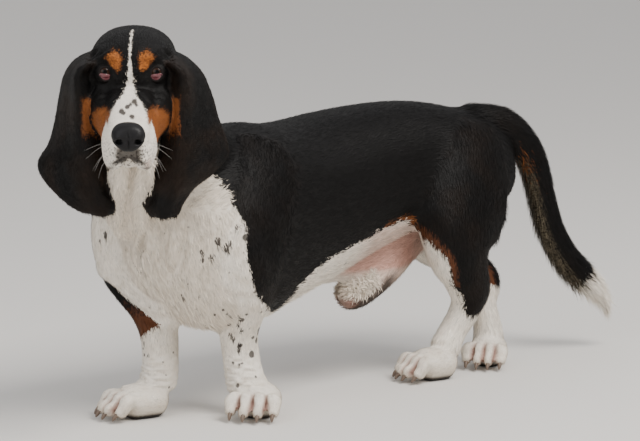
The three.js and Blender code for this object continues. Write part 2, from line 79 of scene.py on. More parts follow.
def turn_about(axis, angle):
    """The 3 by 3 matrix of a turn by angle about the x or z axis."""
    c, s = math.cos(angle), math.sin(angle)
    if axis == "x":
        return np.array([[1, 0, 0], [0, c, -s], [0, s, c]])
    return np.array([[c, -s, 0], [s, c, 0], [0, 0, 1]])


def unit(vectors):
    """The same directions at length 1."""
    return vectors / np.maximum(np.linalg.norm(vectors, axis=-1, keepdims=True), 1e-9)


def bell(distance, width):
    """1 at no distance, falling off on both sides: e to minus the square of distance over width."""
    return np.exp(-(distance / width) ** 2)


def eased(value, low, high):
    """0 below low, 1 above high, with a smooth step between."""
    t = np.clip((value - low) / (high - low), 0, 1)
    return t * t * (3 - 2 * t)


HEAD_AXES = turn_about("z", HEAD_TURN) @ turn_about("x", HEAD_PITCH)


def from_head(points):
    """Points of the head's own frame, carried to the dog's frame."""
    return np.asarray(points, float) @ HEAD_AXES.T + EYE_LINE


def to_head(points):
    """Points of the dog's frame, in the head's own frame."""
    return (np.asarray(points, float) - EYE_LINE) @ HEAD_AXES


def lean(local):
    """How far the muzzle is bent to the dog's left there: none at the eyes and most at the nose."""
    return MUZZLE_LEAN * np.clip((-20 - local[..., 1]) / 95, 0, 1.3) ** 2


def leaned(local):
    """Points of the head with the muzzle's lean."""
    local = np.array(local, float)
    local[..., 0] += lean(local)
    return local


def straight_head(points):
    """Points of the dog's frame in the head's own frame, with the muzzle's lean taken out."""
    local = to_head(points)
    local[:, 0] -= lean(local)
    return local


def frame_shift():
    """How far the model's frame is moved: the left eye's centre there, less its place here."""
    low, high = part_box("eye_left")
    centre = (np.array(low) + np.array(high)) * 500
    return centre - from_head([EYE_SPACING / 2, EYE_DEPTH, 0])


SHIFT = frame_shift()


def metres(points):
    """Millimetres in the dog's frame to metres in the model's frame."""
    return (np.asarray(points, float) + SHIFT) / 1000


# Paths and tubes
def knots_of(rows):
    """Distances of the rows' points along the line through them."""
    steps = np.linalg.norm(np.diff(rows[:, :3], axis=0), axis=1)
    return np.concatenate([[0.0], np.cumsum(steps)])


def rows_at(rows, s):
    """The rows at distances s: a cubic between each two rows, with slopes from both neighbours."""
    knots = knots_of(rows)
    length = np.diff(knots)
    rise = np.diff(rows, axis=0) / length[:, None]
    slope = np.empty_like(rows)
    slope[0] = rise[0]
    slope[-1] = rise[-1]
    before = length[:-1, None]
    after = length[1:, None]
    slope[1:-1] = (rise[:-1] * after + rise[1:] * before) / (before + after)
    i = np.clip(np.searchsorted(knots, s) - 1, 0, len(length) - 1)
    t = ((s - knots[i]) / length[i])[:, None]
    span = length[i][:, None]
    start = 2 * t**3 - 3 * t**2 + 1
    finish = 3 * t**2 - 2 * t**3
    return (start * rows[i] + (t**3 - 2 * t**2 + t) * span * slope[i]
            + finish * rows[i + 1] + (t**3 - t**2) * span * slope[i + 1])


def tube(rows, caps=(12, 12), up=(0, 0, 1), square=2.0, step=4.0, sides=None, place=None):
    """A closed tube through rows of x, y, z, half width, reach up and reach down.

    Each section is a superellipse across the path, and each end rounds off as an ellipse
    over its cap's length. Returns the grid of rings and its two end points."""
    rows = np.asarray(rows, float)
    total = knots_of(rows)[-1]
    cap_rings = 8
    quarter = np.arange(1, cap_rings) / cap_rings * math.pi / 2
    start_cap = caps[0] * (1 - np.cos(quarter))
    end_cap = total - (caps[1] * (1 - np.cos(quarter)))[::-1]
    rings = max(8, int((total - sum(caps)) / step))
    run = np.linspace(caps[0], total - caps[1], rings + 1)
    stations = np.concatenate([start_cap, run, end_cap])
    size = np.concatenate([np.sin(quarter), np.ones(rings + 1), np.sin(quarter)[::-1]])
    row = rows_at(rows, stations)
    reach = min(2, total * 0.02)
    along = rows_at(rows, np.minimum(total, stations + reach))[:, :3]
    along = unit(along - rows_at(rows, np.maximum(0, stations - reach))[:, :3])
    rise = unit(np.asarray(up, float) - along * (along @ np.asarray(up, float))[:, None])
    side = np.cross(rise, along)
    if sides is None:
        sides = int(np.clip(2 * math.pi * row[:, 3:].max() / step, 16, 120))
    angle = np.arange(sides) / sides * 2 * math.pi
    c = np.sign(np.cos(angle)) * np.abs(np.cos(angle)) ** (2 / square)
    d = np.sign(np.sin(angle)) * np.abs(np.sin(angle)) ** (2 / square)
    high = np.where(d > 0, row[:, 4:5], row[:, 5:6]) * d
    grid = (row[:, None, :3] + side[:, None] * (c * row[:, 3:4] * size[:, None])[..., None]
            + rise[:, None] * (high * size[:, None])[..., None])
    ends = rows_at(rows, np.array([0.0, total]))[:, :3]
    if place is not None:
        grid, ends = place(grid), place(ends)
    return closed_grid(grid, ends[0], ends[1])


def closed_grid(grid, first, last):
    """Vertices, triangles and directions of a grid of rings, closed round and to a point at both ends.

    A vertex's direction runs from its ring to the next."""
    rings, sides = grid.shape[:2]
    points = np.vstack([first[None], grid.reshape(-1, 3), last[None]])
    at = 1 + np.arange(rings * sides).reshape(rings, sides)
    right = np.roll(at, -1, axis=1)
    a, b, c, d = at[:-1], right[:-1], right[1:], at[1:]
    walls = [np.stack([a, b, c], -1).reshape(-1, 3), np.stack([a, c, d], -1).reshape(-1, 3)]
    low = np.stack([np.zeros(sides, int), right[0], at[0]], -1)
    high = np.stack([np.full(sides, len(points) - 1), at[-1], right[-1]], -1)
    run = np.repeat(unit(np.gradient(grid.mean(1), axis=0)), sides, axis=0)
    return points, np.vstack([*walls, low, high]), np.vstack([run[:1], run, run[-1:]])


# Body forms, with the sizes of the solids
def spine_x(y):
    """How far to the left the spine lies at y: a parabola, because the body bends."""
    return SPINE_SIDE + SPINE_BEND * ((y - SPINE_BEND_CENTRE) / SPINE_BEND_LENGTH) ** 2


# Each row: y, x away from the spine's bend, top, bottom, half width as a share of the chest's
TRUNK = np.array([
    [-304, -28, 262, 124, 0.66],
    [-268, -20, 305, 106, 0.84],
    [-230, -10, 330, 100, 0.95],
    [-190, -2, 342, 100, 0.99],
    [-150, 0, 346, 107, 1.0],
    [-100, 0, 340, 118, 1.0],
    [-40, 0, 339, 135, 0.98],
    [20, 0, 344, 153, 0.93],
    [80, 0, 348, 170, 0.86],
    [130, 0, 349, 182, 0.79],
    [185, 0, 341, 190, 0.74],
    [240, 0, 318, 193, 0.66],
    [270, 0, 283, 193, 0.56],
    [294, 0, 254, 190, 0.45],
], float)
NECK = np.array([
    [-20, -205, 262, 78, 74, 88],
    [-12, -248, 300, 75, 72, 89],
    [4, -292, 342, 68, 66, 88],
    [26, -330, 380, 60, 58, 86],
    [46, -352, 408, 50, 48, 76],
], float)
DEWLAP = np.array([
    [96, -404, 338, 11, 14, 13],
    [66, -385, 306, 13, 18, 17],
    [34, -362, 280, 14, 20, 18],
    [4, -334, 252, 15, 20, 17],
    [-14, -306, 226, 14, 18, 14],
], float)
DEWLAP_SPREAD = 13
THROAT_ACROSS = np.array([0.68, 0.73])
FORELEG = {
    "left": np.array([
        [18, -140, 322, 30, 44, 44],
        [44, -176, 280, 40, 58, 54],
        [57, -205, 228, 44, 62, 58],
        [58, -204, 184, 40, 50, 52],
        [48, -193, 152, 33, 38, 38],
        [35, -188, 122, 26, 29, 29],
        [25, -184, 94, 22, 25, 25],
        [25, -180, 70, 21, 25, 25],
        [29, -179, 48, 23, 26, 25],
        [40, -180, 28, 26, 29, 26],
    ], float),
    "right": np.array([
        [-52, -150, 322, 30, 44, 44],
        [-80, -200, 280, 42, 60, 54],
        [-90, -242, 228, 46, 64, 62],
        [-84, -250, 184, 42, 56, 58],
        [-70, -248, 152, 34, 44, 42],
        [-54, -248, 122, 28, 32, 31],
        [-44, -250, 94, 23, 25, 25],
        [-40, -252, 70, 21, 24, 25],
        [-39, -254, 48, 22, 25, 25],
        [-41, -258, 28, 24, 28, 25],
    ], float),
}
HINDLEG = {
    "left": np.array([
        [2, 215, 318, 34, 40, 40],
        [18, 200, 280, 44, 60, 60],
        [34, 178, 235, 46, 70, 77],
        [46, 164, 190, 38, 60, 71],
        [50, 162, 158, 31, 44, 62],
        [50, 174, 130, 25, 31, 38],
        [46, 188, 103, 21, 27, 31],
        [38, 184, 78, 18, 22, 24],
        [33, 170, 54, 18, 20, 20],
        [34, 154, 30, 22, 24, 22],
    ], float),
    "right": np.array([
        [-34, 220, 318, 34, 40, 40],
        [-48, 210, 280, 42, 60, 60],
        [-58, 198, 235, 44, 68, 68],
        [-58, 194, 192, 36, 56, 60],
        [-42, 208, 162, 29, 42, 42],
        [-14, 238, 132, 23, 30, 28],
        [3, 258, 107, 20, 24, 24],
        [9, 250, 80, 18, 21, 20],
        [13, 254, 54, 18, 20, 20],
        [16, 256, 30, 22, 24, 22],
    ], float),
}
TAIL = np.array([
    [-4, 215, 316, 24, 22, 26],
    [4, 250, 319, 20, 18, 22],
    [10, 281, 312, 19, 19, 21],
    [15, 307, 292, 19, 20, 21],
    [18, 325, 268, 19, 20, 21],
    [20, 337, 240, 18, 19, 19],
    [22, 346, 208, 17, 18, 18],
    [25, 358, 170, 17, 18, 18],
    [29, 379, 133, 16, 18, 17],
    [34, 408, 103, 14, 16, 15],
    [38, 429, 84, 10, 12, 11],
    [40, 443, 68, 6, 7, 6],
    [41, 450, 53, 2, 2, 2],
], float)
SHEATH = np.array([
    [-8, 158, 182, 15, 16, 20],
    [-10, 128, 160, 17, 18, 20],
    [-10, 96, 140, 19, 20, 22],
    [-8, 64, 125, 20, 21, 22],
    [-6, 38, 116, 20, 20, 21],
    [-5, 12, 114, 16, 17, 17],
], float)
BELLY_FOLD = np.array([
    [-10, -70, 152, 16, 10, 15],
    [-9, -20, 149, 14, 12, 16],
    [-8, 20, 152, 11, 16, 19],
    [-8, 60, 162, 10, 24, 28],
    [-9, 100, 172, 11, 24, 26],
    [-9, 140, 186, 12, 20, 20],
], float)
PAWS = {
    "forepaw_left": dict(x=58, y=-184, turn=37, length=90, width=66),
    "forepaw_right": dict(x=-40, y=-291, turn=-14, length=88, width=63),
    "hindpaw_left": dict(x=35, y=128, turn=-12, length=82, width=57),
    "hindpaw_right": dict(x=23, y=246, turn=34, length=82, width=56),
}
TOE_COUNT = 4


def trunk_rows():
    """The trunk's rows along the bent spine, each centred between its top and bottom."""
    y, aside, top, bottom, width = TRUNK.T
    middle = (top + bottom) / 2
    half = (top - bottom) / 2
    return np.stack([spine_x(y) + aside, y, middle, width * CHEST_WIDTH / 2, half, half], -1)


def beside(rows, aside):
    """The same rows, moved aside across the throat."""
    moved = rows.copy()
    moved[:, :2] += THROAT_ACROSS * aside
    return moved


def paw_place(x, y, turn, **sizes):
    """Carries a paw's own frame, toes towards -Y, to its place on the floor."""
    axes = turn_about("z", math.radians(turn))
    return lambda points: np.asarray(points, float) @ axes.T + np.array([x, y, 0.0])


def paw_forms(size):
    """A low rounded foot and four arched toes, without claws."""
    place = paw_place(**size)
    half = size["length"] / 2
    width = size["width"]
    forms = [tube([
        [0, half * 0.95, 16, width * 0.28, 18, 20],
        [0, half * 0.5, 20, width * 0.4, 20, 24],
        [0, 0, 22, width * 0.44, 20, 26],
        [0, -half * 0.5, 19, width * 0.43, 17, 23],
    ], caps=(14, 16), place=place, step=2.5)]
    for toe in range(TOE_COUNT):
        root, tip, reach = toe_line(toe, half, width)
        forms.append(tube([
            [root, -half * 0.1, 22, 8, 8, 8],
            [(root + tip) / 2, -half * 0.45 * reach, 25, 8.4, 8, 9],
            [tip, -half * 0.78 * reach, 17, 8.2, 8.4, 10],
            [tip, -half * reach, 9, 7, 7, 9],
        ], caps=(5, 6), place=place, step=1.5))
    return forms


def toe_line(toe, half, width):
    """Where toe number toe starts and ends across the paw, and how far forward it reaches."""
    spread = (toe - (TOE_COUNT - 1) / 2) / ((TOE_COUNT - 1) / 2)
    return spread * width * 0.28, spread * width * 0.39, 1 - 0.16 * spread**2


def body_forms():
    """Every tube of the trunk, neck, legs, paws, tail and sheath."""
    forms = {
        "trunk": tube(trunk_rows(), caps=(46, 44), square=2.25),
        "neck": tube(NECK, caps=(30, 24), up=(0, 0.8, 0.6)),
        "tail": tube(TAIL, caps=(14, 4), up=(0, 0.9, 0.45), step=3),
        "sheath": tube(SHEATH, caps=(12, 12), step=3),
        "sheath_fold": tube(BELLY_FOLD, caps=(20, 12), step=3),
    }
    for side in (1, -1):
        forms[f"dewlap_{side}"] = tube(beside(DEWLAP, side * DEWLAP_SPREAD), caps=(10, 14), step=3)
    for name in ("left", "right"):
        forms[f"foreleg_{name}"] = tube(FORELEG[name], caps=(26, 10), up=(0, -1, 0), step=3)
        forms[f"hindleg_{name}"] = tube(HINDLEG[name], caps=(26, 10), up=(0, -1, 0), step=3)
    for name, size in PAWS.items():
        for number, form in enumerate(paw_forms(size)):
            forms[f"{name}_{number}"] = form
    return forms


# Head forms
def on_head(rows, **options):
    """A tube whose rows are in the head's own frame."""
    return tube(rows, place=lambda local: from_head(leaned(local)), step=2.5, **options)


def head_forms():
    """Skull, muzzle, jaw, cheeks, hanging lips and brows, in the head's own frame."""
    forms = {
        "cranium": on_head([
            [0, 132, -4, 34, 22, 28],
            [0, 105, -4, 46, 35, 38],
            [0, 70, -6, 51, 42, 44],
            [0, 35, -8, 51, 45, 44],
            [0, 8, -12, 46, 42, 36],
            [0, -9, -15, 38, 34, 30],
        ], caps=(26, 22), square=2.2),
        "muzzle": on_head([
            [0, 10, -34, 34, 24, 30],
            [0, -22, -36, 29, 22, 30],
            [0, -50, -40, 27, 20, 30],
            [0, -80, -44, 25, 20, 28],
            [0, -100, -45, 23, 19, 25],
            [0, -112, -45, 18, 17, 21],
        ], caps=(12, 12), square=2.4),
        "jaw": on_head([
            [0, 66, -52, 40, 24, 26],
            [0, 25, -62, 36, 20, 22],
            [0, -20, -70, 25, 14, 17],
            [0, -60, -75, 18, 10, 12],
            [0, -92, -75, 14, 9, 11],
        ], caps=(20, 12)),
    }
    for side in (1, -1):
        forms[f"cheek_{side}"] = on_head([
            [side * 30, 90, -22, 20, 36, 34],
            [side * 34, 50, -30, 22, 36, 38],
            [side * 33, 12, -40, 18, 26, 34],
            [side * 27, -22, -48, 12, 20, 26],
            [side * 22, -45, -54, 9, 16, 22],
        ], caps=(18, 14))
        forms[f"flew_{side}"] = on_head([
            [side * 27, 8, -60, 9, 18, 22],
            [side * 25, -24, -64, 9, 26, 26],
            [side * 22, -58, -66, 9.5, 28, 25],
            [side * 18, -86, -66, 11, 26, 22],
            [side * 9, -108, -62, 10, 14, 14],
        ], caps=(14, 8))
        forms[f"brow_{side}"] = on_head([
            [side * 12, 3, 14, 8, 8, 8],
            [side * 20, 4, 19, 9, 9, 8],
            [side * 31, 7, 16, 8, 7, 8],
            [side * 41, 15, 7, 7, 6, 7],
        ], caps=(6, 6))
    return forms


# Ears: heights of the front and rear edge, reach out of the front, fold and rear, and depth of the rear
EAR = {
    "left": np.array([
        [14, 10, 38, 46, 50, 62],
        [3, -2, 47, 56, 64, 68],
        [-14, -18, 46, 58, 78, 74],
        [-34, -45, 41, 55, 89, 78],
        [-58, -75, 36, 53, 97, 78],
        [-80, -98, 32, 53, 106, 74],
        [-100, -115, 29, 53, 108, 64],
        [-120, -130, 23, 52, 92, 48],
        [-140, -143, 15, 48, 69, 28],
        [-156, -157, 11, 40, 58, 14],
        [-171, -171, 20, 36, 50, 8],
    ], float),
    "right": np.array([
        [14, 10, 38, 46, 50, 62],
        [3, -2, 47, 56, 66, 68],
        [-14, -20, 46, 57, 79, 74],
        [-34, -46, 41, 54, 86, 74],
        [-58, -76, 36, 52, 92, 72],
        [-80, -102, 33, 49, 100, 68],
        [-100, -121, 31, 48, 112, 60],
        [-120, -136, 29, 46, 108, 50],
        [-140, -152, 26, 42, 89, 30],
        [-156, -163, 23, 36, 71, 18],
        [-169, -168, 24, 34, 54, 12],
    ], float),
}
EAR_THICKNESS = 6.0
EAR_FRONT_DEPTH = 12.0
EAR_FOLD_DEPTH = -2.0


def ear_middle(name, down=72, across=48):
    """The ear's middle surface: down its length, and across from its front edge over the fold."""
    side = 1 if name == "left" else -1
    rows = np.hstack([np.zeros((len(EAR[name]), 2)), EAR[name]])
    total = knots_of(rows)[-1]
    sections = rows_at(rows, np.linspace(0, total, down))
    _, _, z, rear_z, front, fold, rear, back = sections.T
    lines = np.stack([
        np.stack([side * front, np.full(down, EAR_FRONT_DEPTH), z], -1),
        np.stack([side * fold, np.full(down, EAR_FOLD_DEPTH), z], -1),
        np.stack([side * (fold * 0.45 + rear * 0.55), back * 0.42, (z + rear_z) / 2], -1),
        np.stack([side * rear, back, rear_z], -1),
    ], 1)
    grid = np.array([rows_at(line, np.linspace(0, knots_of(line)[-1], across)) for line in lines])
    return from_head(grid)


def ear_form(name):
    """The ear as a closed leaf: its middle surface thickened along its normals, thin at the rim."""
    middle = ear_middle(name)
    down, across = middle.shape[:2]
    normal = unit(np.cross(np.gradient(middle, axis=0), np.gradient(middle, axis=1)))
    i = np.minimum(np.arange(down), np.arange(down)[::-1])[:, None]
    k = np.minimum(np.arange(across), np.arange(across)[::-1])[None]
    from_rim = np.minimum(i * 2.6, k * 2.3)
    half = EAR_THICKNESS / 2 * np.sqrt(np.clip(from_rim / 7, 0.05, 1))
    front = middle + normal * half[..., None]
    back = middle - normal * half[..., None]
    rings = np.concatenate([front, back[:, ::-1]], axis=1)
    return closed_grid(rings, middle[0].mean(0), middle[-1].mean(0))


# One fused skin
FACE_CENTRE = from_head([0, -40, -20])
FACE_RADII = np.array([0, 80, 215, 2500.0])
FACE_PUSH = np.array([0, 240, 510, 2795.0])
PAW_RADII = np.array([0, 55, 95, 2500.0])
PAW_PUSH = np.array([0, 99, 151, 2556.0])
VOXEL = 0.00475


def lens_centres():
    """Where the skin gets a finer mesh: the face and each paw, with their radii and pushes."""
    lenses = [(FACE_CENTRE, FACE_RADII, FACE_PUSH)]
    for size in PAWS.values():
        lenses.append((paw_place(**size)([0, -12, 14]), PAW_RADII, PAW_PUSH))
    return lenses


def magnified(points):
    """Space swollen round each centre: distances from it are stretched by a broken line of slopes."""
    for centre, radii, push in lens_centres():
        away = points - centre
        distance = np.linalg.norm(away, axis=1, keepdims=True)
        points = centre + away * np.interp(distance, radii, push) / np.maximum(distance, 1e-6)
    return points


def shrunk_back(points):
    """The exact inverse of magnified."""
    for centre, radii, push in reversed(lens_centres()):
        away = points - centre
        distance = np.linalg.norm(away, axis=1, keepdims=True)
        points = centre + away * np.interp(distance, push, radii) / np.maximum(distance, 1e-6)
    return points


def in_scene(name, data):
    """A new object of the scene with that mesh, lamp or camera."""
    thing = bpy.data.objects.new(name, data)
    bpy.context.scene.collection.objects.link(thing)
    return thing


def mesh_object(name, points, faces):
    """A new mesh object in the scene from vertices and faces."""
    mesh = bpy.data.meshes.new(name)
    mesh.from_pydata(np.asarray(points).tolist(), [], np.asarray(faces).tolist())
    mesh.validate()
    return in_scene(name, mesh)


def joined(forms):
    """The vertices and faces of several forms as one."""
    starts = np.cumsum([0] + [len(form[0]) for form in forms])
    faces = [form[1] + start for form, start in zip(forms, starts)]
    return np.vstack([form[0] for form in forms]), np.vstack(faces)


def fused(name, forms, voxel):
    """One closed surface round all the forms, by a voxel remesh in the swollen space."""
    points, faces = joined(forms)
    thing = mesh_object(name, magnified(points) / 1000, faces)
    remesh = thing.modifiers.new("remesh", "REMESH")
    remesh.mode = "VOXEL"
    remesh.voxel_size = voxel
    remesh.adaptivity = 0
    graph = bpy.context.evaluated_depsgraph_get()
    mesh = bpy.data.meshes.new_from_object(thing.evaluated_get(graph))
    bpy.data.objects.remove(thing)
    count = len(mesh.vertices)
    points = np.empty(count * 3)
    mesh.vertices.foreach_get("co", points)
    points = shrunk_back(points.reshape(-1, 3) * 1000)
    corners = np.empty(len(mesh.loops), int)
    mesh.loops.foreach_get("vertex_index", corners)
    sizes = np.empty(len(mesh.polygons), int)
    mesh.polygons.foreach_get("loop_total", sizes)
    bpy.data.meshes.remove(mesh)
    if not (sizes == 4).all():
        raise RuntimeError("the remesh gave faces that are not quads")
    return points, corners.reshape(-1, 4)


class Web:
    """The edges of a quad mesh, for averages over neighbours and for normals."""

    def __init__(self, count, quads):
        pairs = np.vstack([quads[:, [k, (k + 1) % 4]] for k in range(4)])
        pairs = np.unique(np.sort(pairs, axis=1), axis=0)
        self.count = count
        self.quads = quads
        self.heads = np.concatenate([pairs[:, 0], pairs[:, 1]])
        self.tails = np.concatenate([pairs[:, 1], pairs[:, 0]])
        self.degree = np.bincount(self.heads, minlength=count).astype(float)

    def average(self, values):
        """Each vertex's mean over its neighbours."""
        flat = values.reshape(self.count, -1)
        sums = [np.bincount(self.heads, flat[self.tails, k], self.count) for k in range(flat.shape[1])]
        return (np.stack(sums, -1) / self.degree[:, None]).reshape(values.shape)

    def smoothed(self, values, rounds, share=0.5):
        """Values drawn towards their neighbours' mean, again and again."""
        for _ in range(rounds):
            values = values + share * (self.average(values) - values)
        return values

    def normals(self, points):
        """Vertex normals from the cross products of the quads' diagonals."""
        a, b, c, d = (points[self.quads[:, k]] for k in range(4))
        flat = np.cross(c - a, d - b)
        total = np.zeros_like(points)
        for k in range(4):
            for axis in range(3):
                total[:, axis] += np.bincount(self.quads[:, k], flat[:, axis], self.count)
        return unit(total)


def filleted(web, points, rounds, keep_out):
    """Hollow joins between forms filled: smoothed outward in full and inward by a small share."""
    for _ in range(rounds):
        normal = web.normals(points)
        move = web.average(points) - points
        out = (move * normal).sum(1, keepdims=True)
        flat = move - out * normal
        out = np.where(out > 0, out, out * 0.12)
        points = points + keep_out[:, None] * (0.5 * flat + 0.6 * out * normal)
    return points


class Cells:
    """A block of cells over the dog. Each holds the number of a form's point in it or close by."""

    SIZE = 4.0
    SPREAD = 4

    def __init__(self, points):
        margin = self.SIZE * (self.SPREAD + 2)
        self.low = points.min(0) - margin
        shape = np.ceil((points.max(0) + margin - self.low) / self.SIZE).astype(int)
        held = np.full(shape, -1)
        held[tuple(self.place(points))] = np.arange(len(points))
        for _ in range(self.SPREAD):
            for axis in range(3):
                for step in (1, -1):
                    held = np.where(held < 0, np.roll(held, step, axis), held)
        self.held = held

    def place(self, points):
        """The cell that each point lies in."""
        return ((points - self.low) / self.SIZE).astype(int).T

    def nearest(self, points):
        """The number that the cell of each point holds."""
        return self.held[tuple(self.place(points))]


# Which way the hair lies along each kind of form: with its rows or against them
LIE = {"trunk": 1, "neck": -1, "dewlap": 1, "foreleg": 1, "hindleg": 1, "forepaw": 1, "hindpaw": 1,
       "tail": 1, "sheath": 1, "cranium": -1, "muzzle": -1, "jaw": -1, "cheek": -1, "flew": -1,
       "brow": -1, "ear": 1}
KINDS = list(LIE)


HEAD_KINDS = ("cranium", "muzzle", "jaw", "cheek", "flew", "brow")
HAIR_DOWN_CHEST = np.array([0.1, 0.25, -1.0])


class Skin:
    """The dog's one skin: points, quads, the kind of form under each point, and the lie of its hair."""

    def __init__(self):
        ears = {f"ear_{side}": ear_form(side) for side in EAR}
        forms = {**body_forms(), **head_forms(), **ears}
        self.points, self.quads = fused("skin_forms", list(forms.values()), VOXEL)
        self.web = Web(len(self.points), self.quads)
        cells = Cells(np.vstack([form[0] for form in forms.values()]))
        nearest = cells.nearest(self.points)
        kinds = [KINDS.index(name.split("_")[0]) for name in forms]
        counts = [len(form[0]) for form in forms.values()]
        kind = np.repeat(kinds, counts)[nearest]
        signs = np.repeat([LIE[KINDS[k]] for k in kinds], counts)
        lie = np.vstack([form[2] for form in forms.values()])[nearest] * signs[nearest][:, None]
        self.share = {}
        for number, name in enumerate(KINDS):
            self.share[name] = self.web.smoothed((kind == number).astype(float), 5)
        lie = self.web.smoothed(lie, 8)
        chest = self.share["trunk"] * eased(-self.points[:, 1], 190, 262) * (self.points[:, 2] < 262)
        self.lie = lie * (1 - chest)[:, None] + chest[:, None] * HAIR_DOWN_CHEST
        self.normal = self.web.normals(self.points)

    def of(self, *names):
        """The summed share of these kinds of form at each point."""
        return sum(self.share[name] for name in names)

    def head(self):
        """1 on the head, and less only close to its edge."""
        return np.clip(self.of(*HEAD_KINDS) * 1.5, 0, 1)

    def main_kind(self):
        """The number of the kind with the largest share at each point."""
        return np.stack([self.share[name] for name in KINDS]).argmax(0)


# Folds of the skin
def smooth_path(path, count=16):
    """Points evenly along a curve through the path's own."""
    path = np.asarray(path, float)
    return rows_at(path, np.linspace(0, knots_of(path)[-1], count))


def along_path(points, path, reach):
    """The points within reach of a path: their numbers, distances from it and shares of its length."""
    near = np.flatnonzero(((points > path.min(0) - reach) & (points < path.max(0) + reach)).all(1))
    edge = np.diff(path, axis=0)
    away = points[near][:, None] - path[:-1]
    t = np.clip((away * edge).sum(-1) / (edge**2).sum(-1), 0, 1)
    gap = np.linalg.norm(away - t[..., None] * edge, axis=-1)
    k = gap.argmin(1)
    rows = np.arange(len(near))
    knots = knots_of(path)
    return near, gap[rows, k], (knots[k] + t[rows, k] * np.diff(knots)[k]) / knots[-1]


def near_path(points, path, width):
    """1 on a path, falling off as a bell over its width."""
    near, gap, run = along_path(points, smooth_path(path), 3 * width)
    share = np.zeros(len(points))
    share[near] = bell(gap, width) * np.clip(np.minimum(run, 1 - run) * 8, 0.2, 1)
    return share


def creased(points, local, normal, folds):
    """Moves points in along each fold and out beside it: depth times a bell of its width.

    Each fold fades at its ends, and its path is in the frame of local."""
    for path, depth, width in folds:
        near, gap, run = along_path(local, smooth_path(path), 4 * width)
        groove = bell(gap, width) - 0.4 * bell(gap - 2.1 * width, width)
        fade = np.clip(np.minimum(run, 1 - run) * 5, 0, 1)
        points[near] -= normal[near] * (depth * groove * fade)[:, None]


def both_sides(folds):
    """The folds of the left side and their mirror images."""
    return folds + [([(-x, y, z) for x, y, z in path], depth, width) for path, depth, width in folds]


# Folds of the head in its own frame: path, depth and width
MOUTH = [(-20, -101, -76), (-12, -107, -71), (0, -105, -68), (12, -107, -71), (20, -101, -76)]
PHILTRUM = [(0, -112, -56), (0, -110, -61), (0, -106, -68)]
PINK_LIP = [(21, -101, -70), (22, -98, -78), (22, -92, -84)]
FLEW_RIM = [(14, -105, -79), (21, -95, -84), (25.5, -70, -90), (28, -40, -91), (29, -5, -84)]
HEAD_FOLDS = both_sides([
    ([(8, 6, 33), (16, 3, 41), (28, 8, 38), (38, 18, 28), (44, 26, 12), (46, 28, -8)], 3.4, 3.2),
    ([(9, 20, 40), (18, 18, 47), (30, 24, 43), (41, 34, 31), (48, 40, 12)], 2.8, 3.2),
    ([(14, -4, 8), (16, -12, -4), (24, -16, -16), (33, -10, -28), (37, -4, -42)], 1.5, 2.6),
    ([(10, -14, 2), (12, -24, -12), (20, -34, -24), (29, -34, -36), (31, -34, -50)], 1.3, 2.6),
    ([(40, 6, -6), (44, 6, -22), (45, 4, -40), (42, 0, -56)], 1.8, 3.0),
    ([(15, -92, -32), (22, -80, -42), (26, -66, -56), (27, -58, -72)], 1.3, 2.4),
    ([(19, -100, -48), (22, -92, -60), (22, -88, -74)], 0.9, 2.2),
]) + [(MOUTH, 2.6, 1.9), (PHILTRUM, 1.6, 1.3)]
# Folds of the body: three down the throat, the crease over the right foreleg, the chest's own folds
# with the deep one first, and one each behind the elbow, down the shoulder and on the flank
CHEST_CREASE = [(21, -326, 237), (-2, -311, 218), (-16, -307, 198), (-17, -301, 182), (-11, -294, 170)]
BODY_FOLDS = [
    ([(96, -420, 318), (70, -398, 286), (38, -372, 252), (12, -344, 226), (0, -322, 204)], 4.0, 5.0),
    ([(74, -424, 322), (46, -402, 292), (14, -376, 262), (-12, -346, 236), (-24, -322, 212)], 3.0, 5.0),
    ([(104, -398, 322), (86, -372, 290), (58, -344, 262), (34, -322, 240)], 2.6, 5.0),
    ([(-112, -262, 178), (-96, -284, 166), (-78, -293, 148),
      (-58, -286, 134), (-36, -272, 117), (-22, -256, 108)], 5.5, 6.0),
    (CHEST_CREASE, 4.6, 3.8),
    ([(-13, -336, 226), (-38, -303, 196), (-24, -295, 174), (-9, -283, 154)], 3.4, 4.8),
    ([(-76, -304, 191), (-63, -295, 170), (-49, -280, 152), (-25, -269, 139), (2, -261, 132)], 3.6, 5.4),
    ([(31, -304, 236), (27, -305, 215), (24, -299, 193), (28, -288, 170)], 3.4, 4.8),
    ([(51, -295, 237), (49, -293, 216), (39, -293, 194), (22, -293, 177)], 3.0, 4.8),
    ([(71, -251, 167), (77, -229, 153), (84, -207, 151), (77, -189, 139)], 2.4, 4.6),
    ([(49, -239, 130), (37, -221, 114), (20, -208, 92)], 2.0, 4.0),
    ([(86, -168, 150), (80, -150, 142), (66, -140, 134)], 4.0, 6.0),
    ([(96, -236, 262), (100, -214, 232), (98, -196, 196), (90, -186, 166)], 2.0, 9.0),
    ([(60, 96, 220), (58, 112, 196), (60, 128, 176)], 2.0, 9.0),
]


# Eyes
GAZE = unit(np.array([0.05, -0.963, 0.263]))
GAZE_ACROSS = unit(np.cross([0, 0, 1], GAZE))
GAZE_UP = np.cross(GAZE, GAZE_ACROSS)
# The opening between the lids, seen along the gaze: towards the nose and up from the eye's middle
OPENING = 0.82 * np.array([
    (-5.8, 0.4), (-3.8, 4.2), (0.5, 5.8), (5.2, 3.4), (7.4, -2.2), (5.6, -8.0), (0.4, -9.8), (-4.2, -5.8),
])
OPENING_CENTRE = np.array([0.5, -2.2])
LID_THICKNESS = 1.9
LID_SAG = 1.2
LID_REACH = 36
BALL_SINK = 2.6


def eye_centre(side):
    """The middle of the ball, set a little back from the solid eye's."""
    return np.array([side * EYE_SPACING / 2, EYE_DEPTH + EYE_SET_BACK, 0.0])


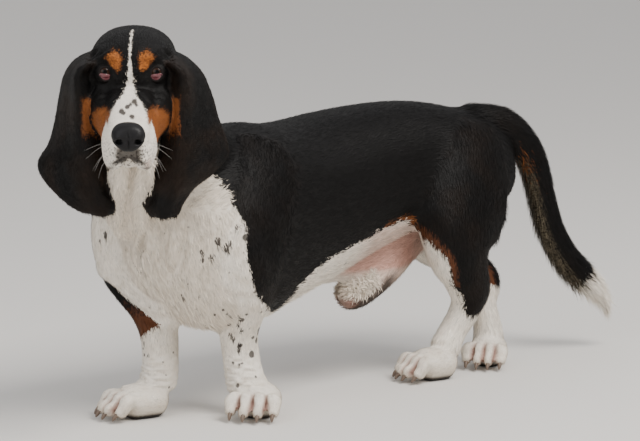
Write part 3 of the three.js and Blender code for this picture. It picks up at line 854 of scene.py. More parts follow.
def gaze_parts(side, away):
    """How far a direction goes towards the nose, up and along the gaze."""
    return np.stack([-side * (away @ GAZE_ACROSS), away @ GAZE_UP, away @ GAZE], -1)


def unrolled(away):
    """Places over the ball in mm of arc from the gaze, towards the nose and up, of gaze parts."""
    flat = np.linalg.norm(away[..., :2], axis=-1)
    arc = EYE_RADIUS * np.arctan2(flat, away[..., 2])
    return away[..., :2] * (arc / np.maximum(flat, 1e-6))[..., None]


def rolled(side, place, radius):
    """The head's own point over the eye's ball at an unrolled place, radius mm from the eye's middle."""
    arc = np.linalg.norm(place, axis=-1)
    flat = np.sin(arc / EYE_RADIUS) / np.maximum(arc, 1e-6)
    ahead = np.cos(arc / EYE_RADIUS)
    across = -side * (place[..., 0] * flat)[..., None] * GAZE_ACROSS
    way = across + (place[..., 1] * flat)[..., None] * GAZE_UP + ahead[..., None] * GAZE
    return eye_centre(side) + way * np.asarray(radius)[..., None]


def opening_reach():
    """Angles all round the opening's middle and the reach of the lids' edge at each, smoothed."""
    depth = np.sqrt(EYE_RADIUS**2 - (OPENING**2).sum(1))
    place = unrolled(np.column_stack([OPENING, depth])) - OPENING_CENTRE
    angle = np.arctan2(place[:, 1], place[:, 0])
    table = np.linspace(-math.pi, math.pi, 181)[:-1]
    reach = np.interp(table, angle, np.linalg.norm(place, axis=1), period=2 * math.pi)
    kernel = np.ones(15) / 15
    reach = np.convolve(np.concatenate([reach[-7:], reach, reach[:7]]), kernel, "valid")
    return table, reach


OPENING_ANGLES, OPENING_REACH = opening_reach()


def past_lid(place):
    """How far outside the lids' edge an unrolled place lies, and how much of the lower lid is there."""
    away = place - OPENING_CENTRE
    angle = np.arctan2(away[..., 1], away[..., 0])
    reach = np.interp(angle, OPENING_ANGLES, OPENING_REACH, period=2 * math.pi)
    return np.linalg.norm(away, axis=-1) - reach, np.clip(-np.sin(angle), 0, 1) ** 1.3


def lid_height(past, lower):
    """Height of the lids over the eye's ball, with more along the sagging lower lid."""
    return (LID_THICKNESS + LID_SAG * lower) * eased(past, -1.0, 1.0)


def lidded(points):
    """The skin round each eye drawn on to the lids, and sunk below the ball inside the opening."""
    local = to_head(points)
    for side in (1, -1):
        away = local - eye_centre(side)
        near = np.flatnonzero(np.linalg.norm(away, axis=1) < LID_REACH)
        parts = gaze_parts(side, away[near])
        radius = np.linalg.norm(parts, axis=1)
        past, lower = past_lid(unrolled(parts))
        aim = EYE_RADIUS + lid_height(past, lower) - 0.5 * (1 - eased(past, 2.0, 3.6))
        aim = np.where(past < 0.3, EYE_RADIUS - BALL_SINK * (1 - eased(past, -1.2, 0.4)), aim)
        hold = (1 - eased(past, 3.0, 13.0)) * (1 - eased(radius, EYE_RADIUS + 5, EYE_RADIUS + 15))
        hold *= eased(parts[:, 2], -6, 2)
        scale = 1 + hold * (aim / np.maximum(radius, 1e-6) - 1)
        local[near] = eye_centre(side) + away[near] * scale[:, None]
    return from_head(local)


# Paws
PAW_REACH = 68
KNUCKLE_RISE = 3.8
TOE_GAP_DEPTH = 4.2
TOE_GAP_WIDTH = 2.2


def to_paw(points, x, y, turn, **sizes):
    """Points of the dog's frame, in a paw's own frame."""
    return (points - np.array([x, y, 0.0])) @ turn_about("z", math.radians(turn))


def knuckled(skin):
    """Toes with high knuckles and deep gaps between them, and the share of gap at each point."""
    gaps = np.zeros(len(skin.points))
    paw = skin.of("forepaw", "hindpaw")
    for size in PAWS.values():
        local = to_paw(skin.points, **size)
        half, width = size["length"] / 2, size["width"]
        own = (np.hypot(local[:, 0], local[:, 1]) < PAW_REACH) & (local[:, 2] < 62) & (paw > 0.2)
        x, y, z = local[own].T
        run = eased(-y, half * 0.1, half * 0.78)
        pitch = width * (0.28 + 0.11 * run) * 2 / (TOE_COUNT - 1)
        across = x / pitch + (TOE_COUNT - 1) / 2
        from_gap = np.abs(across - np.clip(np.round(across - 0.5) + 0.5, 0.5, TOE_COUNT - 1.5)) * pitch
        between = bell(from_gap, TOE_GAP_WIDTH) * eased(-y, half * 0.34, half * 0.66) * eased(z, 2, 9)
        top = eased(skin.normal[own, 2], -0.2, 0.5)
        knuckle = KNUCKLE_RISE * bell(y + half * 0.54, 8) * top - 1.2 * bell(y + half * 0.8, 4.5) * top
        knuckle += 1.6 * bell(y + half * 0.98, 5) * eased(-skin.normal[own, 1], 0.1, 0.6)
        rise = (knuckle * (1 - between) - TOE_GAP_DEPTH * between) * paw[own]
        skin.points[own] += skin.normal[own] * rise[:, None]
        gaps[own] = between
    return gaps


WRIST_FOLD_PITCH = 9
WRIST_FOLD_HEIGHT = 1.1


def wrinkled(skin):
    """Soft folds of loose skin round both wrists: waves that wander up and down round the leg."""
    x, y, z = skin.points.T
    share = np.clip(skin.of("foreleg", "forepaw"), 0, 1) * eased(z, 26, 38) * eased(-z, -80, -62)
    share = share * (0.3 + 0.7 * eased(-skin.normal[:, 1], -0.2, 0.5))
    wander = 2.6 * np.sin(x * 0.21 + y * 0.13) + 1.6 * np.sin(x * 0.47 - y * 0.3 + 1.0)
    wave = np.sin((z + wander) * 2 * math.pi / WRIST_FOLD_PITCH)
    skin.points += skin.normal * (WRIST_FOLD_HEIGHT * share * (wave - 0.3 * wave**2))[:, None]


def evened(skin, share, rounds):
    """Smooths the skin where share is 1."""
    skin.points += share[:, None] * (skin.web.smoothed(skin.points, rounds) - skin.points)


def shaped(skin):
    """The skin finished: joins filled, least on the face, ears and toes, and folds, toes and lids made."""
    fine = skin.of("flew", "muzzle", "jaw", "brow", "forepaw", "hindpaw")
    middling = skin.of("cranium", "cheek", "ear")
    keep = np.clip(1 - 0.93 * fine - 0.55 * middling, 0.05, 1)
    skin.points = filleted(skin.web, skin.points, 46, keep)
    rump = eased(skin.points[:, 1], 60, 130) * eased(skin.points[:, 2], 190, 240)
    evened(skin, rump * skin.of("trunk", "hindleg"), 60)
    evened(skin, skin.share["sheath"] * eased(skin.points[:, 1], 0, 40), 24)
    depth = COAT_DEPTH * (1 - 0.8 * skin.share["ear"])
    skin.points = skin.points - skin.web.normals(skin.points) * depth[:, None]
    skin.normal = skin.web.normals(skin.points)
    skin.gaps = knuckled(skin)
    wrinkled(skin)
    head = skin.head()
    creased(skin.points, straight_head(skin.points), skin.normal * head[:, None], HEAD_FOLDS)
    creased(skin.points, skin.points.copy(), skin.normal * (1 - head)[:, None], BODY_FOLDS)
    skin.points = lidded(skin.points)
    skin.points[:, 2] = np.maximum(skin.points[:, 2], FLOOR_GAP)
    skin.normal = skin.web.normals(skin.points)


# Markings
def inside(u, v, outline):
    """Distance to a closed outline: positive inside, where a line to the right crosses it oddly often."""
    corners = np.asarray(outline, float)
    ends = np.roll(corners, -1, axis=0)
    edge = ends - corners
    away = np.stack([u, v], -1)[:, None] - corners
    t = np.clip((away * edge).sum(-1) / (edge**2).sum(-1), 0, 1)
    distance = np.linalg.norm(away - t[..., None] * edge, axis=-1).min(1)
    straddles = (corners[:, 1] > v[:, None]) != (ends[:, 1] > v[:, None])
    rise = np.where(edge[:, 1] == 0, 1e-9, edge[:, 1])
    crossing = corners[:, 0] + (v[:, None] - corners[:, 1]) * edge[:, 0] / rise
    odd = (straddles & (u[:, None] < crossing)).sum(1) % 2 == 1
    return np.where(odd, distance, -distance)


# The black saddle seen from each side: y and z
SADDLE_LEFT = [
    (-345, 440), (-330, 395), (-300, 352), (-275, 320), (-252, 292), (-242, 265), (-231, 240),
    (-235, 226), (-233, 203), (-224, 178), (-212, 158), (-194, 143), (-165, 130), (-140, 110),
    (-122, 150), (-100, 166), (-68, 180), (-37, 186), (-4, 192), (26, 199), (50, 204), (72, 208),
    (86, 206), (104, 190), (116, 172), (126, 160), (132, 145), (139, 130), (148, 119), (163, 104),
    (171, 90), (176, 80), (186, 76), (198, 80), (208, 94), (222, 84), (236, 72), (300, 100), (520, 20),
    (520, 480),
]
SADDLE_RIGHT = [
    (-390, 440), (-372, 400), (-350, 360), (-325, 320), (-310, 290), (-314, 250), (-316, 210),
    (-308, 170), (-296, 120), (-262, 96), (-226, 104), (-205, 135), (-165, 130),
    (-140, 130), (-110, 156), (-68, 178), (-4, 190), (50, 205), (90, 205), (120, 180), (150, 150),
    (190, 128), (235, 118), (248, 108), (264, 102), (292, 100), (330, 110), (520, 20), (520, 480),
]
THIGH_TAN = [
    (40, 204), (72, 208), (86, 206), (104, 190), (116, 172), (126, 160), (132, 145), (139, 130), (148, 119),
    (151, 122), (143, 134), (138, 149), (131, 164), (121, 177), (109, 195), (92, 212), (72, 213), (40, 208),
]
HOCK_TAN = [(228, 140), (248, 138), (258, 122), (260, 104), (250, 100), (236, 112)]
# Half widths of the face's white at heights in the head's own frame, and how far back it reaches
BLAZE_HEIGHTS = [-34, -28, -24, -20, -16, -12, -4, 6, 20, 34]
BLAZE_HALF_WIDTHS = [22, 20, 16.5, 12, 7.5, 5, 3.2, 2.2, 1.4, 1.0]
MUZZLE_EDGE_HEIGHTS = [-78, -62, -45, -30, -20]
MUZZLE_EDGE_DEPTHS = [-42, -57, -57, -53, -38]
MUZZLE_WIDE_HEIGHTS = [-62, -52, -44, -38, -32, -24, -18]
MUZZLE_HALF_WIDTHS = [38, 35, 30, 24.5, 20, 16.5, 11]
BROW_SPOT = [
    (12, 24), (20, 26.5), (25, 23), (28.5, 19.5), (25, 15.5), (20.4, 9), (14.5, 4), (10.8, 9.5), (10, 17),
]
CHEEK_PATCH = [(12, -26), (24, -29), (36, -35), (43, -44), (43, -58), (34, -66), (22, -66), (14, -46)]
# Dark spots on the muzzle, in the head's own frame: x, y and radius
MUZZLE_SPOTS = [
    (-7.6, -69, 3.0), (-5.2, -75, 2.4), (-1.2, -58, 2.8), (2.2, -52, 2.0), (6.2, -45, 3.0), (4.4, -86, 3.0),
    (8.6, -52, 2.0),
]
# Dark spots on the chest and forelegs: x, y, z and radius
SPOTS = np.array([
    [-78, -304, 218, 3.4], [-85, -307, 210, 2.2], [3, -316, 222, 3.2], [2, -313, 215, 3.6],
    [-2, -311, 208, 2.6], [-12, -308, 201, 2.6], [-16, -306, 195, 2.2], [-26, -301, 186, 2.6],
    [-30, -300, 178, 2.0], [-15, -292, 167, 2.2], [80, -265, 224, 4.6], [84, -256, 216, 5.0],
    [87, -252, 221, 3.6], [65, -277, 211, 3.0], [73, -268, 206, 3.2], [64, -275, 200, 2.8],
    [88, -243, 239, 3.2], [94, -233, 236, 3.0], [26, -274, 154, 2.0], [45, -263, 153, 2.2],
    [58, -231, 130, 2.8], [60, -215, 128, 2.6], [52, -208, 113, 3.2], [51, -202, 106, 3.6],
    [38, -209, 101, 3.0], [39, -205, 95, 3.4], [42, -198, 87, 3.6], [41, -198, 80, 3.4],
    [46, -177, 72, 2.8], [35, -202, 66, 2.4], [41, -198, 63, 2.6], [56, -210, 120, 2.4],
    [46, -204, 98, 2.2], [33, -210, 110, 2.2], [48, -196, 92, 2.0], [-45, -272, 88, 2.6],
    [-36, -275, 74, 2.4], [-30, -278, 57, 2.4], [-10, -281, 25, 3.0], [-50, -271, 98, 2.0],
    [36, -18, 164, 4.0],
])


def blaze_width(local):
    """Half the width of the white line up the middle of the face, which ends on the crown."""
    _, y, z = local.T
    wide = np.interp(z, BLAZE_HEIGHTS, BLAZE_HALF_WIDTHS)
    return np.where(y > 20, np.minimum(wide, np.interp(y, [20, 58, 70], [1.0, 0.8, -4])), wide)


# The way that the tail's paler side faces: inward and towards the thighs
TAIL_UNDER = np.array([-0.5, -0.8, -0.3])


def head_white(local):
    """White of the blaze, the muzzle and the jaw on the head, in mm inside its edge."""
    x, y, z = local.T
    blaze = blaze_width(local) - np.abs(x)
    muzzle = np.interp(z, MUZZLE_EDGE_HEIGHTS, MUZZLE_EDGE_DEPTHS) - y
    muzzle = np.minimum(muzzle, np.interp(z, MUZZLE_WIDE_HEIGHTS, MUZZLE_HALF_WIDTHS) - np.abs(x))
    jaw = np.minimum(-80 - z, 34 - np.abs(x))
    return np.maximum(np.maximum(blaze, np.where(z < -14, muzzle, -20)), jaw)


def head_tan(local):
    """Tan of the brow spots and cheeks, in mm inside their edges."""
    x, y, z = local.T
    brow = np.where(y < 25, inside(np.abs(x), z, BROW_SPOT), -20)
    cheek = np.where(y < 12, inside(np.abs(x), z, CHEEK_PATCH), -20)
    return np.maximum(brow, cheek)


def ear_tan(local):
    """Tan down the front fold of each ear, fading out below."""
    x, y, z = local.T
    out = np.minimum(55 - np.abs(x), np.abs(x) - 27)
    tall = np.minimum((-27 - z) * 0.6, (z + 68) * 0.3)
    return np.where(y < 22, np.minimum(out, tall), -20)


def past_far_hock(x, y, z):
    """Whether a low point lies on the right hind leg, past the line between the two hocks."""
    return (z < 160) & (70 * (y - 223) > 43 * (x - 24.5))


def black_saddle(skin, left):
    """Distance in mm inside the black: the outline of that side, less on the belly, inside the thighs and
    on the front of the chest, where the skin faces away from the side."""
    share, normal = skin.share, skin.normal
    _, y, z = skin.points.T
    saddle = np.where(left, inside(y, z, SADDLE_LEFT), inside(y, z, SADDLE_RIGHT))
    belly = (y > -200) & (y < 120) & (z < 215)
    saddle = np.where(belly, saddle - np.clip((-normal[:, 2] - 0.72) * 60, 0, 30), saddle)
    inward = normal[:, 0] * np.where(left, -1, 1) - 0.9 * np.clip(normal[:, 1], 0, 1)
    thigh = (share["hindleg"] > 0.3) & (z < 206) & (left | (y < 228) | (z > 150))
    saddle = np.where(thigh, np.minimum(saddle, (np.where(left, 0.25, -0.25) - inward) * 40), saddle)
    chest = ~left & (y < -140) & (z < 290)
    return np.where(chest, np.minimum(saddle, (-normal[:, 0] - 0.56) * 60), saddle)


def markings(skin):
    """The distances in mm inside the white and the tan, and how far across the blaze each point lies."""
    points, share = skin.points, skin.share
    x, y, z = points.T
    local = straight_head(points)
    left = x > spine_x(np.clip(y, -300, 290)) + 4
    left = left & ~((share["hindleg"] + share["hindpaw"] > 0.3) & past_far_hock(x, y, z))
    white = -black_saddle(skin, left)
    crease = 149 - 0.787 * (x + 77)
    low = 94 + 0.72 * (x + 51)
    shank = (share["foreleg"] > 0.35) & (x < -18) & (y < -205) & (z < np.minimum(crease, 175))
    white = np.where(shank, low - z, white)
    head = skin.head()
    white = white * (1 - head) + head_white(local) * head
    blaze = np.where(head > 0.6, blaze_width(local), -60)
    white = np.where(share["ear"] > 0.45, -15, white)
    tail = share["tail"] > 0.5
    white = np.where(tail, ((y - 402) + (109 - z)) * 0.7, white)
    white = np.where((share["sheath"] > 0.45) | (skin.of("forepaw", "hindpaw") > 0.4), 16, white)
    tan = np.where(head > 0.5, head_tan(local), -20)
    tan = np.where(share["ear"] > 0.4, ear_tan(local), tan)
    body = (head < 0.5) & (share["ear"] < 0.4) & ~tail
    tan = np.where(body & left & (z < 222), np.maximum(tan, inside(y, z, THIGH_TAN)), tan)
    tan = np.where(body & ~left & (share["hindleg"] > 0.3), np.maximum(tan, inside(y, z, HOCK_TAN)), tan)
    tan = np.where(shank, np.minimum((127 - z) * 0.22, (x + 66) * 0.25), tan)
    tan = np.where(tail, np.minimum((skin.normal @ TAIL_UNDER - 0.5) * 14, (z - 270) * 0.25), tan)
    return {"white": white, "tan": tan, "blaze": blaze, "across": local[:, 0]}


class Shader:
    """Short ways to build a material's nodes. A socket or a plain number may feed any input."""

    def __init__(self, tree):
        self.tree = tree

    def node(self, kind, settings=None, **inputs):
        """A new node with its settings and the inputs that feed it."""
        made = self.tree.nodes.new(kind)
        for key, value in (settings or {}).items():
            setattr(made, key, value)
        for key, value in inputs.items():
            self.feed(made.inputs[key.replace("_", " ")], value)
        return made

    def feed(self, socket, value):
        """Links a socket to an input, or writes a plain value there."""
        if isinstance(value, bpy.types.NodeSocket):
            self.tree.links.new(value, socket)
        else:
            socket.default_value = value

    def attribute(self, name):
        """The number that the mesh keeps under a name."""
        return self.node("ShaderNodeAttribute", {"attribute_name": name}).outputs["Fac"]

    def maths(self, operation, *values):
        """One sum, product or the like of numbers."""
        made = self.node("ShaderNodeMath", {"operation": operation})
        for socket, value in zip(made.inputs, values):
            self.feed(socket, value)
        return made.outputs[0]

    def plus(self, first, second):
        """The sum of two numbers."""
        return self.maths("ADD", first, second)

    def minus(self, first, second):
        """The difference of two numbers."""
        return self.maths("SUBTRACT", first, second)

    def times(self, first, second):
        """The product of two numbers."""
        return self.maths("MULTIPLY", first, second)

    def place(self):
        """Places in the mesh's own frame."""
        return self.tree.nodes.new("ShaderNodeTexCoord").outputs["Object"]

    def moved(self, vector, by):
        """The sum of two vectors."""
        made = self.node("ShaderNodeVectorMath", {"operation": "ADD"})
        self.feed(made.inputs[0], vector)
        self.feed(made.inputs[1], by)
        return made.outputs[0]

    def scaled(self, vector, scale):
        """A vector or a colour times a number."""
        made = self.node("ShaderNodeVectorMath", {"operation": "SCALE"}, Scale=scale)
        self.feed(made.inputs[0], vector)
        return made.outputs[0]

    def noise(self, place, scale, detail=3.0, rough=0.55):
        """Soft random patches, from about 0.3 to 0.7."""
        made = self.node("ShaderNodeTexNoise", Vector=place, Scale=scale, Detail=detail, Roughness=rough)
        return made.outputs["Fac"]

    def stretched(self, place, scale, turn=(0, 0, 0)):
        """Places turned and scaled, so that a pattern on them is drawn out."""
        made = self.node("ShaderNodeMapping", Vector=place, Scale=scale, Rotation=turn)
        return made.outputs["Vector"]

    def step(self, value, low, high):
        """0 below low, 1 above high, and smooth between."""
        made = self.node("ShaderNodeMapRange", {"interpolation_type": "SMOOTHSTEP"}, Value=value)
        made.inputs["From Min"].default_value = low
        made.inputs["From Max"].default_value = high
        return made.outputs["Result"]

    def mix(self, share, first, second):
        """The first colour at share 0 and the second at share 1."""
        made = self.node("ShaderNodeMix", {"data_type": "RGBA"})
        self.feed(made.inputs["Factor"], share)
        for name, value in (("A", first), ("B", second)):
            socket = [s for s in made.inputs if s.name == name and s.type == "RGBA"][0]
            self.feed(socket, value if isinstance(value, bpy.types.NodeSocket) else (*value, 1))
        return [s for s in made.outputs if s.type == "RGBA"][0]


def fur_grain_group():
    """A node group for short hair: fine noise drawn out along the body, the legs or the head."""
    group = bpy.data.node_groups.new("fur_grain", "ShaderNodeTree")
    sockets = {"Leg Share": "INPUT", "Head Share": "INPUT", "Height": "OUTPUT", "Shade": "OUTPUT"}
    for name, way in sockets.items():
        group.interface.new_socket(name, in_out=way, socket_type="NodeSocketFloat")
    shader = Shader(group)
    way_in = group.nodes.new("NodeGroupInput")
    way_out = group.nodes.new("NodeGroupOutput")
    place = shader.place()
    wave = shader.node("ShaderNodeTexNoise", Vector=place, Scale=14.0, Detail=2.0)
    place = shader.moved(place, shader.scaled(wave.outputs["Color"], 0.03))
    body = shader.noise(shader.stretched(place, (1, 0.13, 0.8)), 520.0)
    leg = shader.noise(shader.stretched(place, (1, 1, 0.14)), 560.0)
    head = shader.noise(shader.stretched(place, (1, 0.2, 1), (0, 0, -HEAD_TURN)), 640.0)
    height = body
    for pattern, name in ((leg, "Leg Share"), (head, "Head Share")):
        share = way_in.outputs[name]
        height = shader.plus(shader.times(height, shader.minus(1.0, share)), shader.times(pattern, share))
    group.links.new(height, way_out.inputs["Height"])
    group.links.new(shader.step(height, 0.3, 0.7), way_out.inputs["Shade"])
    return group


# Colours, in linear light
BLACK_HAIR = (0.0048, 0.0044, 0.0043)
# Also the colour of the painted shade in the toe gaps, the chest crease and under the nose
BROWN_BLACK = (0.013, 0.008, 0.0055)
GOLD_HAIR = (0.17, 0.14, 0.095)
TAN_HAIR = (0.42, 0.135, 0.028)
TAN_DEEP = (0.18, 0.058, 0.016)
RUST_HAIR = (0.094, 0.034, 0.015)
WHITE_HAIR = (0.84, 0.795, 0.72)
CREAM_HAIR = (0.62, 0.53, 0.42)
PINK_SKIN = (0.52, 0.27, 0.21)
TICK_HAIR = (0.024, 0.018, 0.016)
LIP_SKIN = (0.012, 0.0085, 0.008)
PUPIL_BLACK = (0.002, 0.002, 0.002)
IRIS_BROWN = (0.034, 0.014, 0.006)
IRIS_DARK = (0.011, 0.005, 0.003)
IRIS_RIM = (0.03, 0.02, 0.018)
EYE_WHITE = (0.30, 0.20, 0.17)
HAW_RED = (0.155, 0.044, 0.052)
HAW_DARK = (0.10, 0.02, 0.028)
HAW_LINE = (0.09, 0.012, 0.018)
NOSE_BLACK = (0.0050, 0.0048, 0.0052)
NOSE_GREY = (0.0125, 0.0118, 0.0128)
# Painted shade inside the nostrils, slits and middle groove
NOSTRIL_SHADE = (0.002, 0.002, 0.002)
HORN = (0.13, 0.09, 0.065)
WHISKER = (0.42, 0.40, 0.38)
FLOOR = (0.70, 0.68, 0.65)
# Edges of the pupil, the iris and its rim, in mm of arc from the gaze
PUPIL_EDGE = (2.4, 2.8)
IRIS_EDGE = (5.8, 6.6)
RIM_EDGE = (6.8, 8.2)


def coat_material(fur_grain):
    """Short hair in black, tan and white: edges frayed by noise, ticks in the white, pink where skin shows."""
    material = bpy.data.materials.new("coat")
    material.use_nodes = True
    shader = Shader(material.node_tree)
    base = material.node_tree.nodes["Principled BSDF"]
    place = shader.place()
    attribute, step, plus, minus, times = shader.attribute, shader.step, shader.plus, shader.minus, shader.times
    grain = shader.node("ShaderNodeGroup", {"node_tree": fur_grain})
    shader.feed(grain.inputs["Leg Share"], attribute("leg"))
    shader.feed(grain.inputs["Head Share"], attribute("head"))
    height = grain.outputs["Height"]
    fray = times(minus(shader.noise(place, 160.0, 4.0, 0.7), 0.5), attribute("fray"))
    fray = plus(fray, times(minus(height, 0.5), 6.0))
    blaze = minus(attribute("blaze"), shader.maths("ABSOLUTE", attribute("across")))
    white = step(plus(shader.maths("MAXIMUM", attribute("white"), blaze), fray), -0.9, 1.1)
    tan = step(plus(attribute("tan"), fray), -2.0, 2.5)
    # The dark hair and the tan
    patchy = step(shader.noise(place, 22.0), 0.35, 0.7)
    dark = shader.mix(times(patchy, attribute("brown")), BLACK_HAIR, BROWN_BLACK)
    dark = shader.mix(times(step(height, 0.30, 0.66), attribute("grizzle")), dark, GOLD_HAIR)
    tan_colour = shader.mix(grain.outputs["Shade"], TAN_DEEP, TAN_HAIR)
    tan_colour = shader.mix(attribute("dull"), tan_colour, TAN_DEEP)
    tan_colour = shader.mix(attribute("rust"), tan_colour, RUST_HAIR)
    # The white, with its cream patches, ticks, pepper and bare skin
    pale = shader.mix(attribute("cream"), WHITE_HAIR, CREAM_HAIR)
    pale = shader.mix(times(step(shader.noise(place, 70.0), 0.45, 0.75), 0.35), pale, CREAM_HAIR)
    cells = shader.node("ShaderNodeTexVoronoi", Vector=place, Scale=78.0, Randomness=1.0)
    size = shader.node("ShaderNodeSeparateColor", Color=cells.outputs["Color"])
    tick = minus(times(size.outputs["Red"], attribute("ticks")), cells.outputs["Distance"])
    ticks = step(plus(tick, times(fray, 0.012)), 0.0, 0.09)
    pale = shader.mix(times(ticks, 0.85), pale, TICK_HAIR)
    pepper = step(shader.noise(place, 380.0, 2.0), 0.52, 0.62)
    pale = shader.mix(times(pepper, attribute("pepper")), pale, TICK_HAIR)
    pale = shader.mix(attribute("pink"), pale, PINK_SKIN)
    colour = shader.mix(white, shader.mix(tan, dark, tan_colour), pale)
    # Spots, then painted shade in the toe gaps, the chest crease and under the nose, mixed with real dark hair
    # there and on the sheath, then lips, over all three
    blot = step(plus(attribute("spot"), times(fray, 0.25)), -0.7, 0.7)
    colour = shader.mix(times(blot, 0.92), colour, TICK_HAIR)
    colour = shader.mix(attribute("shade_and_dark_hair"), colour, BROWN_BLACK)
    colour = shader.mix(attribute("lip"), colour, LIP_SKIN)
    colour = shader.scaled(colour, plus(1.0, attribute("tone")))
    shader.feed(base.inputs["Base Color"], colour)
    shader.feed(base.inputs["Roughness"], plus(0.5, times(white, 0.24)))
    base.inputs["Specular IOR Level"].default_value = 0.11
    wave = shader.node("ShaderNodeTexWave", {"bands_direction": "Z"}, Vector=place, Scale=34.0, Distortion=4.6,
                       Detail=1.5)
    ring = times(wave.outputs["Fac"], attribute("rings"))
    rings = shader.node("ShaderNodeBump", Strength=1.0, Distance=0.0019, Height=ring)
    bump = shader.node("ShaderNodeBump", Strength=0.55, Distance=0.0011, Height=height)
    shader.feed(bump.inputs["Normal"], rings.outputs["Normal"])
    shader.feed(base.inputs["Normal"], bump.outputs["Normal"])
    return material


def give(thing, name, values):
    """A float at each vertex, which the materials read by name."""
    made = thing.data.attributes.new(name, "FLOAT", "POINT")
    made.data.foreach_set("value", np.asarray(values, np.float32))


def finished(thing, slot, material, *nodes):
    """Smooth faces, a material, its body, and the solids that it stands for; the slot is not used."""
    thing.data.polygons.foreach_set("use_smooth", np.ones(len(thing.data.polygons), bool))
    thing.data.materials.append(material)
    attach(thing, "root")
    if nodes:
        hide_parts(*nodes)
    return thing


def over_sheath(skin):
    """How far above the sheath's middle line each point lies."""
    return skin.points[:, 2] - np.interp(skin.points[:, 1], SHEATH[::-1, 1], SHEATH[::-1, 2])


def fluff_share(skin):
    """How much of the curly white fluff on top of the sheath's end grows at each point."""
    y, above = skin.points[:, 1], over_sheath(skin)
    along = eased(-y, -76, -58) * eased(y, 10, 22)
    return skin.share["sheath"] * along * eased(above, -6, 2) * eased(-above, -24, -14)


def tints(skin):
    """The smaller tints at each point, with how much the edges fray and which way the grain runs."""
    points, share = skin.points, skin.share
    x, y, z = points.T
    local = straight_head(points)
    head = skin.head()
    paw = skin.of("forepaw", "hindpaw")
    legs = np.clip(skin.of("foreleg", "hindleg") + 0.6 * paw, 0, 1)
    chest = share["trunk"] * (y < -150)
    ticks = 0.10 + 0.22 * share["foreleg"] * (x > 0) + 0.12 * share["foreleg"] + 0.10 * chest
    ticks = ticks - 0.5 * head - 0.25 * share["hindleg"] - 0.2 * share["sheath"]
    spot = np.full(len(x), -20.0)
    for a, b, c, radius in SPOTS:
        spot = np.maximum(spot, 0.8 * radius - np.sqrt((x - a) ** 2 + (y - b) ** 2 + 0.45 * (z - c) ** 2))
    for a, b, radius in MUZZLE_SPOTS:
        blot = radius - np.hypot(local[:, 0] - a, 0.42 * (local[:, 1] - b))
        spot = np.where((skin.normal @ HEAD_AXES[:, 2] > 0.3) & (head > 0.5), np.maximum(spot, blot), spot)
    groin = eased(y, -30, 40) * eased(-y, -150, -105) * eased(-z, -214, -196)
    bulb = share["sheath"] * eased(-y, -40, -26) * eased(-z, -118, -106)
    bare = share["sheath"] * eased(z, 138, 150) * eased(y, -20, 20)
    lips = near_path(local, MOUTH, 2.6) + near_path(local, FLEW_RIM, 3.2)
    lips = (lips + near_path(local * [-1, 1, 1], FLEW_RIM, 3.2)) * head
    # The dark zone under the nose leather and above the mouth: painted shade under the nose, together with real
    # dark short hair
    hung = eased(-local[:, 1], 92, 102) * eased(-local[:, 2], 53, 58) * eased(local[:, 2], -76, -70)
    chin = head * hung * eased(-np.abs(local[:, 0]), -17, -10)
    flews = head * eased(-local[:, 2], 44, 60) * eased(-local[:, 1], 50, 70)
    sole = paw * eased(-skin.normal[:, 2], 0.3, 0.8) * eased(-z, -9, -4)
    tail_under = skin.normal @ TAIL_UNDER
    throat = np.clip(skin.of("neck", "dewlap", "trunk") * (y < -180), 0, 1)
    lower = share["sheath"] * eased(-over_sheath(skin), -6, 6) * eased(y, 20, 40) * eased(-y, -112, -82)
    fluff = fluff_share(skin)
    lower = 0.85 * lower * (1 - fluff)
    # Darker along the deep chest crease: painted shade in the fold, together with dark hair there
    crease_shade_and_dark_hair = 0.7 * (1 - head) * near_path(points, CHEST_CREASE, 2.2)
    dark_rust = eased(share["foreleg"], 0.3, 0.6) * (x < -18) * eased(-y, 205, 225) + share["hindleg"]
    groin = groin * (share["trunk"] + share["sheath"]) * (1 - fluff) * (1 - 0.7 * eased(-x, -4, 8))
    lip_pink = near_path(local, PINK_LIP, 5) * head
    wrists = np.clip(skin.of("foreleg", "forepaw"), 0, 1) * eased(z, 26, 36) * eased(-z, -78, -60)
    fray = 8 - 3.5 * head + 6 * np.clip(share["trunk"], 0, 1) + 20 * share["tail"]
    return {
        "ticks": np.clip(ticks, 0, 1),
        "spot": spot,
        "pink": np.clip(0.42 * groin + 0.45 * bulb + 0.6 * bare * (1 - fluff) + 0.9 * skin.gaps**0.7
                        + 0.3 * lip_pink, 0, 0.85),
        "cream": np.clip(0.2 + 0.4 * fluff + 0.35 * throat + 0.3 * paw * eased(-z, -30, -10), 0, 1),
        "brown": np.clip(share["ear"] + 0.5 * share["hindleg"] + 0.3 * skin.of("tail", "foreleg"), 0, 1),
        "dull": np.clip(1 - head + 0.85 * head * eased(-local[:, 2], 10, 24), 0, 1),
        "grizzle": share["tail"] * eased(tail_under, 0.05, 0.6) * eased(-z, -292, -255),
        "pepper": np.clip(0.8 * flews * (1 - 0.5 * eased(np.abs(local[:, 0]), 18, 26)), 0, 1),
        "tone": np.zeros(len(x)),
        "lip": np.clip(lips + sole, 0, 0.95),
        # Painted shade between the toes (with some brown), in the chest crease and under the nose, with real
        # dark hair there; the sheath's tip and underside are real dark hair
        "shade_and_dark_hair": np.clip(0.9 * chin + 0.3 * bulb + crease_shade_and_dark_hair + lower + 0.55 * skin.gaps, 0, 0.85),
        "rust": np.clip(dark_rust, 0, 1),
        "rings": wrists * (0.35 + 0.65 * eased(-skin.normal[:, 1], -0.2, 0.5)),
        "fray": fray + 6 * head * eased(local[:, 2], -24, -14) * eased(-local[:, 2], -14, -2),
        "leg": legs,
        "head": np.clip(head + share["ear"], 0, 1),
    }


